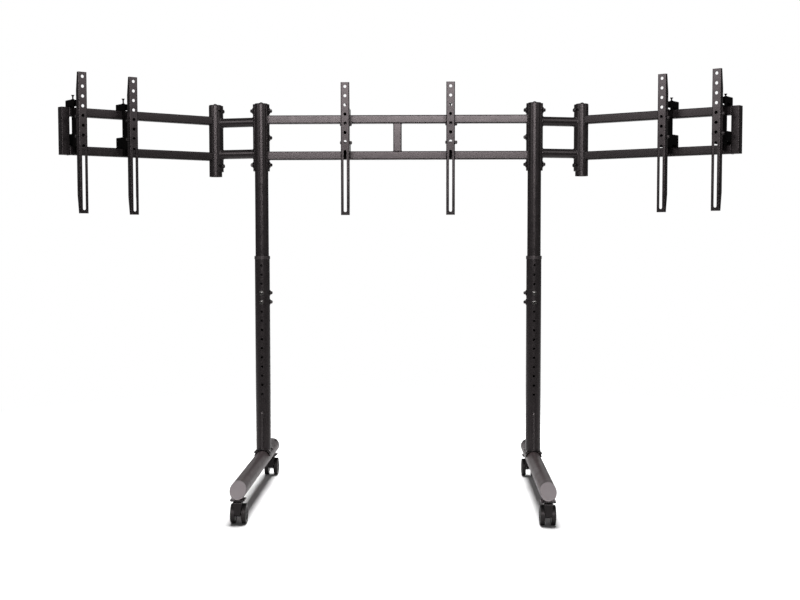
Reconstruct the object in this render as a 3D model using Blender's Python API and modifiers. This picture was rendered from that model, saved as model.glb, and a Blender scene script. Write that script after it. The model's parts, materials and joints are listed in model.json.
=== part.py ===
"""Triple monitor stand on two wheeled feet. Metres, floor at z = 0, screens face -Y, X = 0 midway."""

import math

import bmesh
import bpy
from mathutils import Matrix, Vector

# Round pieces, clearances and welding
ROUND_SIDES = 24
FINE_SIDES = 64
CAP_SIDES = 16
SMALL_SIDES = 10
HOLE_SIDES = 8
ARC_STEPS = 2
SLOT_STEPS = 6
GAP = 0.0003
WELD = 0.00001
REACH = 0.004
SMOOTH_ANGLE = math.radians(35)

# Posts: the upper one telescopes in the lower one. Feet and lower posts are cut from the same tube
TUBE_RADIUS = 0.025
POST_X = 0.457
LOWER_POST_WALL = 0.0022
LOWER_POST_TOP = 0.783
LOWER_BORE = TUBE_RADIUS - LOWER_POST_WALL
UPPER_POST_RADIUS = LOWER_BORE - GAP
UPPER_POST_WALL = 0.002
POST_OVERLAP = 0.223
HOLE_PITCH = 0.031
HOLE_COUNT = 15
HOLE_RADIUS = 0.004
FIRST_HOLE_DROP = 0.030
BOLTED_HOLES = (3, 4)

# Feet
FOOT_Z = 0.102
FOOT_WALL = 0.002
FOOT_FRONT = -0.542
FOOT_REAR = 0.222
FRONT_CUT_TILT = math.radians(37)
CAP_THICKNESS = 0.0025
CAP_EDGE = 0.0005
SPIGOT_DEPTH = 0.010
SPIGOT_PLAY = 0.0008
REAR_HOLE_RADIUS = 0.0035
REAR_HOLE_INSET = 0.026
REAR_HOLE_LEAN = math.radians(45)

# Saddle and gusset under each post
SADDLE_WALL = 0.004
SADDLE_HALF_ANGLE = math.radians(72)
SADDLE_HALF_LENGTH = 0.038
GUSSET_THICKNESS = 0.005
GUSSET_TOP = 0.261
GUSSET_SHOULDER = 0.173
GUSSET_PROUD = 0.010
GUSSET_TOE = 0.013

# Casters
CASTER_FRONT_Y = -0.540
CASTER_REAR_Y = 0.185
CASTER_TRAIL = 0.015
PLATE_SIZE = 0.044
PLATE_THICKNESS = 0.003
PLATE_CORNER = 0.003
RACE_RADIUS = 0.013
RACE_HEIGHT = 0.0025
KING_PIN_RADIUS = 0.0045
KING_PIN_LENGTH = 0.008
WHEEL_RADIUS = 0.030
WHEEL_FLAT_RADIUS = 0.024
WHEEL_WIDTH = 0.0143
WHEEL_SPACE = 0.0185
WHEEL_ROUND = 0.003
WHEEL_CLEARANCE = 0.0015
AXLE_RADIUS = 0.004
HOOD_FRONT = 0.020
HOOD_BACK = 0.024
HOOD_WIDE = 0.027
HOOD_NARROW = 0.0175
HOOD_MOUTH_Z = 0.031
HOOD_FRONT_ROUND = 0.004
HOOD_LOW_ROUND = 0.002
HOOD_BACK_ROUND = 0.008

# Head: rails, clamps and links, all about one height
HEAD_Z = 1.180
RAIL_SIZE = 0.028
RAIL_WALL = 0.002
RAIL_CORNER = 0.003
RAIL_SPREAD = 0.060
SHELL_WALL = 0.005
SHELL_HEIGHT = 0.223
SHELL_CORNER = 0.010
CLAMP_HALF_ANGLE = math.radians(43)
LINK_BAR_RADIUS = 0.0155
LINK_BAR_WALL = 0.002
LINK_SPREAD = 0.053
LINK_REACH = 0.1627
LINK_SET_BACK = 0.045
DOME_RADIUS = 0.007
DOME_HEIGHT = 0.005
TOP_CAP_THICKNESS = 0.0023
TOP_CAP_SPIGOT = 0.008

# Wings
PIVOT_RADIUS = 0.0215
PIVOT_WALL = 0.0025
PIVOT_BELOW_SHELL = 0.0165
PIVOT_SHELL_HALF_ANGLE = math.radians(65)
WING_LENGTH = 0.552
WING_YAW_LEFT = math.radians(40)
WING_YAW_RIGHT = math.radians(35)
WING_YAW_MOST = math.radians(55)
PIVOT_BOLT_SPREAD = 0.092
PIVOT_BOLT_RADIUS = 0.003
PIVOT_BOLT_AT_STRAIGHT = math.radians(-40)
SLOT_END_PLAY = math.radians(2)

# Screen arms, measured from the first hole down
ARM_WIDTH = 0.0285
ARM_SHEET = 0.002
ARM_BEND = 0.003
ARM_ABOVE_HOLE = 0.014
ARM_LENGTH = 0.435
ARM_FLANGE = 0.0185
ARM_END_FLANGE = 0.009
ARM_TAPER = 0.060
SCREEN_HOLE_COUNT = 7
SCREEN_HOLE_PITCH = 0.030
SCREEN_HOLE_RADIUS = 0.005
SCREEN_SLOT_DROP = 0.208
SCREEN_SLOT_LENGTH = 0.203
TILT_BOLT_DROP = 0.123
LOCK_BOLT_DROP = 0.183
TILT_BOLT_DEPTH = 0.0115
TILT_BOLT_RADIUS = 0.003
TILT_MOST = math.radians(4)

# Hook brackets, in depth behind the arm's front face and in drop below its first hole
ARM_TO_RAIL = 0.075
ARM_PLAY = 0.0005
BRACKET_WIDTH = ARM_WIDTH - 2 * ARM_SHEET - 2 * ARM_PLAY
BRACKET_SHEET = 0.0025
HOOK_PLAY_FRONT = 0.0008
HOOK_PLAY_BACK = 0.0025
HOOK_BACK_WIDTH = 0.0145
HOOK_BEARING_DROP = 0.085
HOOK_TOP_RISE = 0.019
HOOK_LIP = 0.017
LOWER_HOOK_RISE = 0.0325
NECK_WIDTH = 0.0167
BRACKET_FRONT = 0.007
BODY_TOP_DROP = 0.095
BODY_BOTTOM_DROP = 0.2145
BODY_CUT_DROP = 0.190
BODY_CUT_DEPTH = 0.014
LEG_DROP = 0.234
RELIEF_RADIUS = 0.0045
BRACKET_ROUND = 0.003
WEB_TOP_DROP = 0.097
WEB_BOTTOM_DROP = 0.165
TAB_THICKNESS = 0.003
TAB_LENGTH = 0.026
LEVEL_NUT_RADIUS = 0.0055
LEVEL_NUT_HEIGHT = 0.004
LEVEL_SCREW_RADIUS = 0.0025
LEVEL_SCREW_LENGTH = 0.0345
LEVEL_HEAD_RADIUS = 0.0045
LEVEL_HEAD_HEIGHT = 0.005

# Bolt heads
TILT_HEAD_RADIUS = 0.0058
TILT_HEAD_HEIGHT = 0.005
TILT_NUT_LENGTH = 0.0095
HEIGHT_HEAD_RADIUS = 0.0075
HEIGHT_HEAD_HEIGHT = 0.0053
HEIGHT_SHANK_RADIUS = 0.0033

# Where the arms stand at rest: name, wing side or centre, place along the rail, lift off the lowest seat
ARMS = (
    ("left_outer", -1, 0.5072, 0.0046),
    ("left_inner", -1, 0.3369, 0.0020),
    ("centre_left", 0, -0.1704, 0.0021),
    ("centre_right", 0, 0.1764, 0.0026),
    ("right_inner", 1, 0.3211, 0.0079),
    ("right_outer", 1, 0.5008, 0.0102),
)

# Colour, roughness and metallic value of each finish
STEEL_COAT = ((0.040, 0.036, 0.037), 0.42, 0.0)
RAIL_COAT = ((0.050, 0.045, 0.047), 0.40, 0.0)
BRACKET_COAT = ((0.018, 0.017, 0.017), 0.50, 0.0)
CAP_PLASTIC = ((0.210, 0.190, 0.195), 0.45, 0.0)
BLACK_PLASTIC = ((0.014, 0.014, 0.014), 0.45, 0.0)
WHEEL_RUBBER = ((0.012, 0.012, 0.012), 0.55, 0.0)
BLACK_ZINC = ((0.045, 0.043, 0.044), 0.35, 0.8)


def link_angle():
    """Direction of a link from its post to its pivot, off the line of the rails."""
    return math.atan2(LINK_SET_BACK, LINK_REACH)


def rim_depth():
    """Depth of the rail's front face behind an arm's front face."""
    return ARM_TO_RAIL - RAIL_SIZE / 2


def clear_scene():
    for obj in list(bpy.data.objects):
        bpy.data.objects.remove(obj)


def scratch_object(name, data):
    obj = bpy.data.objects.new(name, data)
    bpy.context.scene.collection.objects.link(obj)
    return obj


def from_bmesh(name, work):
    mesh = bpy.data.meshes.new(name)
    work.to_mesh(mesh)
    work.free()
    return scratch_object(name, mesh)


def as_solid(obj):
    """The object's curve or modifiers made into one plain closed mesh."""
    bpy.context.view_layer.update()
    graph = bpy.context.evaluated_depsgraph_get()
    mesh = bpy.data.meshes.new_from_object(obj.evaluated_get(graph))
    if obj.type == "CURVE":
        work = bmesh.new()
        work.from_mesh(mesh)
        bmesh.ops.remove_doubles(work, verts=work.verts, dist=WELD)
        bmesh.ops.recalc_face_normals(work, faces=work.faces)
        work.to_mesh(mesh)
        work.free()
    made = scratch_object(obj.name, mesh)
    bpy.data.objects.remove(obj)
    return made


def combined(base, others, operation):
    """Base with each of the others joined to it, cut from it or shared with it; they are used up."""
    for other in others:
        modifier = base.modifiers.new(other.name, "BOOLEAN")
        modifier.operation = operation
        modifier.solver = "EXACT"
        modifier.object = other
    made = as_solid(base)
    for other in others:
        bpy.data.objects.remove(other)
    return made


def joined(base, *others):
    return combined(base, others, "UNION")


def cut(base, *others):
    return combined(base, others, "DIFFERENCE")


def shared(base, *others):
    return combined(base, others, "INTERSECT")


def box(low, high):
    work = bmesh.new()
    bmesh.ops.create_cube(work, size=1)
    low = Vector(low)
    high = Vector(high)
    size = Matrix.Diagonal(high - low).to_4x4()
    bmesh.ops.transform(work, matrix=Matrix.Translation((low + high) / 2) @ size, verts=work.verts)
    return from_bmesh("box", work)


def rod(start, end, radius, sides=ROUND_SIDES, end_radius=None):
    """A round, six-sided or tapered bar from one point to another."""
    start = Vector(start)
    end = Vector(end)
    along = end - start
    work = bmesh.new()
    bmesh.ops.create_cone(
        work,
        cap_ends=True,
        segments=sides,
        radius1=radius,
        radius2=radius if end_radius is None else end_radius,
        depth=along.length,
    )
    turn = along.to_track_quat("Z", "Y").to_matrix().to_4x4()
    bmesh.ops.transform(work, matrix=Matrix.Translation((start + end) / 2) @ turn, verts=work.verts)
    return from_bmesh("rod", work)


def arc(centre, radius, first, last, steps):
    """Points on a circle from one angle to another, both ends included."""
    angles = [first + (last - first) * i / steps for i in range(steps + 1)]
    return [(centre[0] + radius * math.cos(a), centre[1] + radius * math.sin(a)) for a in angles]


def rounded(corners):
    """An outline from (u, v, radius) corners, each with a radius turned into an arc."""
    points = []
    for i, (u, v, radius) in enumerate(corners):
        if not radius:
            points.append((u, v))
            continue
        here = Vector((u, v))
        before = (Vector(corners[i - 1][:2]) - here).normalized()
        after = (Vector(corners[(i + 1) % len(corners)][:2]) - here).normalized()
        half = before.angle(after) / 2
        middle = here + (before + after).normalized() * (radius / math.sin(half))
        start = here + before * (radius / math.tan(half)) - middle
        sweep = start.angle_signed(here + after * (radius / math.tan(half)) - middle)
        first = math.atan2(start.y, start.x)
        points += arc(middle, radius, first, first - sweep, ARC_STEPS)
    return points


def flat_piece(outline, low, high, plane):
    """An outline in the XY, YZ or XZ plane, made thick from low to high along the third axis."""
    curve = bpy.data.curves.new("outline", "CURVE")
    curve.dimensions = "2D"
    curve.fill_mode = "BOTH"
    curve.extrude = (high - low) / 2
    spline = curve.splines.new("POLY")
    spline.points.add(len(outline) - 1)
    for point, (u, v) in zip(spline.points, outline):
        point.co = (u, v, 0, 1)
    spline.use_cyclic_u = True
    made = as_solid(scratch_object("flat", curve))
    middle = (high + low) / 2
    axes = {
        "XY": Matrix(((1, 0, 0, 0), (0, 1, 0, 0), (0, 0, 1, middle), (0, 0, 0, 1))),
        "YZ": Matrix(((0, 0, 1, middle), (1, 0, 0, 0), (0, 1, 0, 0), (0, 0, 0, 1))),
        "XZ": Matrix(((1, 0, 0, 0), (0, 0, -1, middle), (0, 1, 0, 0), (0, 0, 0, 1))),
    }
    made.data.transform(axes[plane])
    return made


def turned(profile, sides=ROUND_SIDES, closed=False):
    """A profile of (radius, height) points turned about Z. It runs down its outer side."""
    work = bmesh.new()
    rings = [work.verts.new((radius, 0, height)) for radius, height in profile]
    for a, b in zip(rings, rings[1:] + rings[:1] if closed else rings[1:]):
        work.edges.new((a, b))
    obj = from_bmesh("turned", work)
    screw = obj.modifiers.new("turn", "SCREW")
    screw.steps = sides
    screw.render_steps = sides
    screw.use_merge_vertices = True
    screw.merge_threshold = WELD
    return as_solid(obj)


def tube(radius, bore, low, high):
    return turned(((bore, high), (radius, high), (radius, low), (bore, low)), closed=True)


def rectangle(half_u, half_v, corner):
    """The outline of a rectangle about the origin, with its corners rounded."""
    corners = ((-half_u, -half_v), (half_u, -half_v), (half_u, half_v), (-half_u, half_v))
    return rounded([(u, v, corner) for u, v in corners])


def square_rail(low, high, size, axis):
    """A square bar along X or Z, centred on the origin, with its long edges rounded."""
    corner = RAIL_CORNER if size == RAIL_SIZE else RAIL_CORNER - RAIL_WALL
    return flat_piece(rectangle(size / 2, size / 2, corner), low, high, "YZ" if axis == "X" else "XY")


def moved(obj, x=0.0, y=0.0, z=0.0, yaw=0.0):
    obj.data.transform(Matrix.Translation((x, y, z)) @ Matrix.Rotation(yaw, 4, "Z"))
    return obj


def half_shell(inner, half_angle, facing):
    """A curved saddle plate about Z, with rounded corners, centred on one direction."""
    outer = inner + SHELL_WALL
    steps = round(ROUND_SIDES * half_angle / math.pi)
    edge = arc((0, 0), outer, -half_angle, half_angle, steps)
    edge += arc((0, 0), inner, half_angle, -half_angle, steps)
    half = SHELL_HEIGHT / 2
    shell = flat_piece(edge, -half, half, "XY")
    side = outer * math.sin(half_angle) + GAP
    window = flat_piece(rectangle(side, half + GAP, SHELL_CORNER), 0, 2 * outer, "YZ")
    return moved(shared(shell, window), yaw=facing)


def ring_slot(inner, outer, first, last, height):
    """A cutter for a slot round a shell, between two angles about Z."""
    steps = max(2, round(ROUND_SIDES * (last - first) / math.tau))
    edge = arc((0, 0), outer, first, last, steps) + arc((0, 0), inner, last, first, steps)
    return flat_piece(edge, -height / 2, height / 2, "XY")


def foot_tube(inward):
    """A foot along Y about its own axis. Its front is cut on a slant, and it has a hole near the back."""
    bore = TUBE_RADIUS - FOOT_WALL
    bar = tube(TUBE_RADIUS, bore, FOOT_FRONT - TUBE_RADIUS, FOOT_REAR)
    bar.data.transform(Matrix(((1, 0, 0, 0), (0, 0, 1, 0), (0, -1, 0, 0), (0, 0, 0, 1))))
    out = Vector((inward * math.sin(REAR_HOLE_LEAN), 0, math.cos(REAR_HOLE_LEAN)))
    place = Vector((0, FOOT_REAR - REAR_HOLE_INSET, 0))
    start = place + out * (bore - REACH)
    end = place + out * (TUBE_RADIUS + REACH)
    drill = rod(start, end, REAR_HOLE_RADIUS, SMALL_SIDES)
    return cut(bar, slant_block(0, 4 * TUBE_RADIUS), drill)


def slant_block(low, high, tilt=FRONT_CUT_TILT, front=FOOT_FRONT):
    """A block between two distances outward from a foot's slanted front end."""
    block = box((-TUBE_RADIUS * 2, -TUBE_RADIUS * 3, low), (TUBE_RADIUS * 2, TUBE_RADIUS * 3, high))
    block.data.transform(Matrix.Translation((0, front, 0)) @ Matrix.Rotation(math.pi / 2 - tilt, 4, "X"))
    return block


def foot_cap(tilt):
    """A plug for a foot's end, facing -Y from the end's centre."""
    edge = TUBE_RADIUS - CAP_EDGE
    stem = TUBE_RADIUS - FOOT_WALL - SPIGOT_PLAY
    far = 3 * TUBE_RADIUS
    plate = shared(rod((0, -far, 0), (0, far, 0), edge), slant_block(GAP, GAP + CAP_THICKNESS, tilt, 0))
    spigot = shared(rod((0, -far, 0), (0, far, 0), stem), slant_block(-SPIGOT_DEPTH, 2 * GAP, tilt, 0))
    return joined(plate, spigot)


def saddle_shell():
    """A half pipe along Y round the top of a foot."""
    inner = TUBE_RADIUS + GAP
    first = math.pi / 2 - SADDLE_HALF_ANGLE
    last = math.pi / 2 + SADDLE_HALF_ANGLE
    steps = round(ROUND_SIDES * SADDLE_HALF_ANGLE / math.pi)
    edge = arc((0, FOOT_Z), inner + SADDLE_WALL, first, last, steps)
    edge += arc((0, FOOT_Z), inner, last, first, steps)
    return flat_piece(edge, -SADDLE_HALF_LENGTH, SADDLE_HALF_LENGTH, "XZ")


def gusset():
    """A thin rib down the front of a post, which widens to a toe on the saddle."""
    face = -TUBE_RADIUS
    proud = face - GUSSET_PROUD
    foot = FOOT_Z + TUBE_RADIUS + GAP + SADDLE_WALL / 2
    inside = face + LOWER_POST_WALL / 2
    outline = (
        (inside, GUSSET_TOP),
        (face, GUSSET_TOP),
        (proud, GUSSET_TOP - GUSSET_PROUD),
        (proud, GUSSET_SHOULDER),
        (face - GUSSET_TOE, foot + SADDLE_WALL),
        (face - GUSSET_TOE, foot),
        (inside, foot),
    )
    return flat_piece(outline, -GUSSET_THICKNESS / 2, GUSSET_THICKNESS / 2, "YZ")


def hole_heights():
    first = LOWER_POST_TOP - FIRST_HOLE_DROP
    return [first - HOLE_PITCH * i for i in range(HOLE_COUNT)]


def lower_post(inward):
    """A post with its saddle and rib, and a row of holes down its front and its inner side."""
    wall_low = LOWER_BORE - REACH
    wall_high = TUBE_RADIUS + REACH
    far = 2 * SADDLE_HALF_LENGTH
    room = rod((0, -far, FOOT_Z), (0, far, FOOT_Z), TUBE_RADIUS + GAP + SADDLE_WALL / 2, FINE_SIDES)
    post = tube(TUBE_RADIUS, LOWER_BORE, FOOT_Z, LOWER_POST_TOP)
    post = joined(cut(post, room), saddle_shell(), gusset())
    drills = []
    for height in hole_heights():
        drills.append(rod((0, -wall_low, height), (0, -wall_high, height), HOLE_RADIUS, HOLE_SIDES))
        drills.append(
            rod((inward * wall_low, 0, height), (inward * wall_high, 0, height), HOLE_RADIUS, HOLE_SIDES)
        )
    return cut(post, *drills)


def round_cap(radius, bore):
    """A plug with a low dome for a tube's top, which is at z = 0."""
    stem = bore - SPIGOT_PLAY / 2
    top = GAP + TOP_CAP_THICKNESS
    dome = [
        (DOME_RADIUS * math.sin(a), top + DOME_HEIGHT * math.cos(a))
        for a in (math.radians(30), math.radians(60), math.radians(90))
    ]
    profile = [(0, top + DOME_HEIGHT)] + dome
    profile += [(radius - CAP_EDGE, top), (radius, top - CAP_EDGE), (radius, GAP)]
    profile += [(stem, GAP), (stem, -TOP_CAP_SPIGOT), (0, -TOP_CAP_SPIGOT)]
    return turned(profile, CAP_SIDES)


def caster_plate():
    """The top plate with its race and king pin. z = 0 is its upper face."""
    half = PLATE_SIZE / 2
    plate = flat_piece(rectangle(half, half, PLATE_CORNER), -PLATE_THICKNESS, 0, "XY")
    race_low = -PLATE_THICKNESS - RACE_HEIGHT
    race = rod((0, 0, race_low), (0, 0, -PLATE_THICKNESS / 2), RACE_RADIUS, SMALL_SIDES * 2)
    pin = rod((0, 0, race_low - KING_PIN_LENGTH), (0, 0, race_low / 2), KING_PIN_RADIUS, SMALL_SIDES)
    return joined(plate, race, pin)


def plate_top_z():
    return FOOT_Z - TUBE_RADIUS - GAP


def hood_top_z():
    return plate_top_z() - PLATE_THICKNESS - RACE_HEIGHT - GAP


def caster_hood():
    """The forked body between and over the wheels, about the swivel axis, in heights above the floor."""
    top = hood_top_z()
    axle_y = CASTER_TRAIL
    below_axle = WHEEL_RADIUS - 2 * AXLE_RADIUS
    side = rounded(
        [
            (-HOOD_FRONT, top, HOOD_FRONT_ROUND),
            (-HOOD_FRONT, HOOD_MOUTH_Z, 0),
            (axle_y - 2 * AXLE_RADIUS, below_axle, HOOD_LOW_ROUND),
            (axle_y + 2 * AXLE_RADIUS, below_axle, HOOD_LOW_ROUND),
            (HOOD_BACK, WHEEL_RADIUS + AXLE_RADIUS, HOOD_LOW_ROUND),
            (HOOD_BACK, top, HOOD_BACK_ROUND),
        ]
    )
    wide = HOOD_WIDE / 2
    narrow = HOOD_NARROW / 2
    front = (
        (-wide, top),
        (-narrow, HOOD_MOUTH_Z),
        (-narrow, 0),
        (narrow, 0),
        (narrow, HOOD_MOUTH_Z),
        (wide, top),
    )
    body = shared(flat_piece(side, -wide, wide, "YZ"), flat_piece(front, -HOOD_FRONT, HOOD_BACK, "XZ"))
    rooms = []
    for hand in (-1, 1):
        start = (hand * narrow, axle_y, WHEEL_RADIUS)
        end = (hand * (narrow + WHEEL_WIDTH), axle_y, WHEEL_RADIUS)
        rooms.append(rod(start, end, WHEEL_RADIUS + WHEEL_CLEARANCE))
    axle = rod((-wide, axle_y, WHEEL_RADIUS), (wide, axle_y, WHEEL_RADIUS), AXLE_RADIUS + GAP, SMALL_SIDES)
    pin_low = top - KING_PIN_LENGTH - GAP
    pin_room = rod((0, 0, top + REACH), (0, 0, pin_low), KING_PIN_RADIUS + GAP, SMALL_SIDES)
    return cut(body, *rooms, axle, pin_room)


def caster_wheels():
    """Two wheels on one axle along X."""
    inner = WHEEL_SPACE / 2
    outer = inner + WHEEL_WIDTH
    half = [
        (0, outer),
        (WHEEL_FLAT_RADIUS, outer),
        (WHEEL_RADIUS, outer - WHEEL_ROUND),
        (WHEEL_RADIUS, inner + WHEEL_ROUND),
        (WHEEL_RADIUS - WHEEL_ROUND, inner),
        (AXLE_RADIUS, inner),
    ]
    wheels = turned(half + [(radius, -height) for radius, height in reversed(half)])
    wheels.data.transform(Matrix.Rotation(math.pi / 2, 4, "Y"))
    return wheels


def centre_frame():
    """Two rails with a short upright, between two saddle plates that clamp on the posts."""
    inner = UPPER_POST_RADIUS + GAP
    reach = POST_X - inner - 2 * GAP
    bore = RAIL_SIZE - 2 * RAIL_WALL
    left = moved(half_shell(inner, CLAMP_HALF_ANGLE, 0), x=-POST_X)
    right = moved(half_shell(inner, CLAMP_HALF_ANGLE, math.pi), x=POST_X)
    upright = square_rail(-RAIL_SPREAD, RAIL_SPREAD, RAIL_SIZE, "Z")
    rails = [moved(square_rail(-reach, reach, RAIL_SIZE, "X"), z=z) for z in (-RAIL_SPREAD, RAIL_SPREAD)]
    body = joined(left, right, upright, *rails)
    far = POST_X - inner / 2
    bores = [moved(square_rail(-far, far, bore, "X"), z=z) for z in (-RAIL_SPREAD, RAIL_SPREAD)]
    return cut(body, *bores, square_rail(-RAIL_SPREAD, RAIL_SPREAD, bore, "Z"))


def link_bracket(side):
    """A post's outer saddle plate, two round bars, and the slotted saddle plate of a wing's pivot."""
    post_inner = UPPER_POST_RADIUS + GAP
    pivot_inner = PIVOT_RADIUS + GAP
    facing = 0 if side > 0 else math.pi
    back = math.pi + link_angle() if side > 0 else -link_angle()
    pivot = (side * LINK_REACH, LINK_SET_BACK)
    shell = moved(half_shell(pivot_inner, PIVOT_SHELL_HALF_ANGLE, back), *pivot)
    heights = (-LINK_SPREAD, LINK_SPREAD)
    far = SHELL_HEIGHT
    bars = []
    for z in heights:
        at_post = rod((0, 0, -far), (0, 0, far), post_inner + SHELL_WALL / 2, FINE_SIDES)
        at_pivot = rod((*pivot, -far), (*pivot, far), pivot_inner + SHELL_WALL / 2, FINE_SIDES)
        bars.append(cut(rod((0, 0, z), (*pivot, z), LINK_BAR_RADIUS), at_post, at_pivot))
    body = joined(half_shell(post_inner, CLAMP_HALF_ANGLE, facing), shell, *bars)
    clear = (post_inner + 2 * SHELL_WALL) / LINK_REACH
    start = (pivot[0] * clear, pivot[1] * clear)
    bores = [rod((*start, z), (*pivot, z), LINK_BAR_RADIUS - LINK_BAR_WALL) for z in heights]
    half = math.asin((PIVOT_BOLT_RADIUS + GAP) / pivot_inner) + SLOT_END_PLAY
    first = PIVOT_BOLT_AT_STRAIGHT - half
    last = PIVOT_BOLT_AT_STRAIGHT + WING_YAW_MOST + half
    if side > 0:
        first, last = -last, -first
    tall = 2 * PIVOT_BOLT_RADIUS + 2 * GAP
    outer = pivot_inner + SHELL_WALL
    slots = []
    for z in (-PIVOT_BOLT_SPREAD, PIVOT_BOLT_SPREAD):
        slot = ring_slot(pivot_inner - REACH, outer + REACH, back + first, back + last, tall)
        slots.append(moved(slot, *pivot, z))
    return cut(body, *bores, *slots)


def wing_frame(side):
    """The pivot tube with two rails out along +X and an end upright, for the right or the left wing."""
    top = SHELL_HEIGHT / 2
    bore = PIVOT_RADIUS - PIVOT_WALL
    end = WING_LENGTH - RAIL_SIZE / 2
    hollow = RAIL_SIZE - 2 * RAIL_WALL
    height = RAIL_SPREAD + RAIL_SIZE / 2
    pivot = rod((0, 0, -top - PIVOT_BELOW_SHELL), (0, 0, top), PIVOT_RADIUS)
    rails = [moved(square_rail(0, end, RAIL_SIZE, "X"), z=z) for z in (-RAIL_SPREAD, RAIL_SPREAD)]
    upright = moved(square_rail(-height, height, RAIL_SIZE, "Z"), x=end)
    body = joined(pivot, upright, *rails)
    bores = [moved(square_rail(0, end, hollow, "X"), z=z) for z in (-RAIL_SPREAD, RAIL_SPREAD)]
    core = rod((0, 0, -top - PIVOT_BELOW_SHELL - REACH), (0, 0, top + REACH), bore)
    shaft = moved(square_rail(RAIL_WALL - height, height - RAIL_WALL, hollow, "Z"), x=end)
    turn = math.pi + side * (PIVOT_BOLT_AT_STRAIGHT - link_angle())
    out = Vector((math.cos(turn), -math.sin(turn), 0))
    drills = []
    for z in (-PIVOT_BOLT_SPREAD, PIVOT_BOLT_SPREAD):
        start = Vector((0, 0, z)) + out * (bore - REACH)
        end = Vector((0, 0, z)) + out * (PIVOT_RADIUS + REACH)
        drills.append(rod(start, end, PIVOT_BOLT_RADIUS, HOLE_SIDES))
    return cut(body, *bores, core, shaft, *drills)


def arm_point(depth, drop):
    """A point in an arm's side view, (back, up) from its tilt bolt."""
    return depth - TILT_BOLT_DEPTH, TILT_BOLT_DROP - drop


def screen_arm():
    """A channel that opens to the back, with screen holes and a slot, about its tilt bolt."""
    front, top = arm_point(0, -ARM_ABOVE_HOLE)
    bottom = top - ARM_LENGTH
    half = ARM_WIDTH / 2
    inside = half - ARM_SHEET
    back = front + ARM_FLANGE
    section = rounded(
        [
            (-half, front, ARM_BEND),
            (half, front, ARM_BEND),
            (half, back, 0),
            (inside, back, 0),
            (inside, front + ARM_SHEET, ARM_BEND - ARM_SHEET),
            (-inside, front + ARM_SHEET, ARM_BEND - ARM_SHEET),
            (-inside, back, 0),
            (-half, back, 0),
        ]
    )
    body = flat_piece(section, bottom, top, "XY")
    end = front + ARM_END_FLANGE
    far = back + REACH
    tapers = []
    for edge, inward in ((top, -1), (bottom, 1)):
        start = edge - inward * REACH
        full = edge + inward * ARM_TAPER
        tapers.append(((end, start), (end, edge), (back, full), (far, full), (far, start)))
    cutters = [flat_piece(outline, -ARM_WIDTH, ARM_WIDTH, "YZ") for outline in tapers]
    for i in range(SCREEN_HOLE_COUNT):
        z = arm_point(0, SCREEN_HOLE_PITCH * i)[1]
        cutters.append(rod((0, front - REACH, z), (0, front + REACH, z), SCREEN_HOLE_RADIUS, SMALL_SIDES))
    slot_top = arm_point(0, SCREEN_SLOT_DROP)[1]
    slot_low = slot_top - SCREEN_SLOT_LENGTH
    wide = SCREEN_HOLE_RADIUS
    slot = arc((0, slot_top - wide), wide, 0, math.pi, SLOT_STEPS)
    slot += arc((0, slot_low + wide), wide, math.pi, math.tau, SLOT_STEPS)
    cutters.append(flat_piece(slot, front - REACH, front + REACH, "XZ"))
    cutters.append(rod((-half - REACH, 0, 0), (half + REACH, 0, 0), TILT_BOLT_RADIUS + GAP, HOLE_SIDES))
    cutters.append(lock_slot(half + REACH))
    return cut(body, *cutters)


def lock_slot(reach):
    """A cutter for the short arc that the lock bolt runs in as an arm tilts."""
    radius = LOCK_BOLT_DROP - TILT_BOLT_DROP
    wide = TILT_BOLT_RADIUS + GAP
    down = -math.pi / 2
    low = down - TILT_MOST
    high = down + TILT_MOST
    high_end = (radius * math.cos(high), radius * math.sin(high))
    low_end = (radius * math.cos(low), radius * math.sin(low))
    round_steps = 2 * ARC_STEPS
    outline = arc((0, 0), radius + wide, low, high, ARC_STEPS)
    outline += arc(high_end, wide, high, high + math.pi, round_steps)[1:-1]
    outline += arc((0, 0), radius - wide, high, low, ARC_STEPS)
    outline += arc(low_end, wide, low + math.pi, low + math.tau, round_steps)[1:-1]
    return flat_piece(outline, -reach, reach, "YZ")


def bracket_outline():
    """A hook bracket's side plate: a body at the front, a neck, and a hook over each rail."""
    face = rim_depth() - HOOK_PLAY_FRONT
    neck = face - NECK_WIDTH
    slot_back = rim_depth() + RAIL_SIZE + HOOK_PLAY_BACK
    back = slot_back + HOOK_BACK_WIDTH
    upper = HOOK_BEARING_DROP
    lower = upper + 2 * RAIL_SPREAD
    turn = BRACKET_ROUND
    corners = (
        (BRACKET_FRONT, BODY_TOP_DROP, turn),
        (neck, BODY_TOP_DROP, 0),
        (neck, upper - HOOK_TOP_RISE, turn),
        (back, upper - HOOK_TOP_RISE, turn),
        (back, upper + HOOK_LIP, turn),
        (slot_back, upper + HOOK_LIP, turn),
        (slot_back, upper, 0),
        (face, upper, 0),
        (face, lower - LOWER_HOOK_RISE, 0),
        (back, lower - LOWER_HOOK_RISE, turn),
        (back, lower + HOOK_LIP, turn),
        (slot_back, lower + HOOK_LIP, turn),
        (slot_back, lower, 0),
        (face, lower, 0),
        (face, LEG_DROP, turn),
        (neck, LEG_DROP, turn),
        (neck, BODY_BOTTOM_DROP, 0),
        (BODY_CUT_DEPTH, BODY_BOTTOM_DROP, turn),
        (BRACKET_FRONT, BODY_CUT_DROP, turn),
    )
    return rounded([(*arm_point(depth, drop), radius) for depth, drop, radius in corners])


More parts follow.
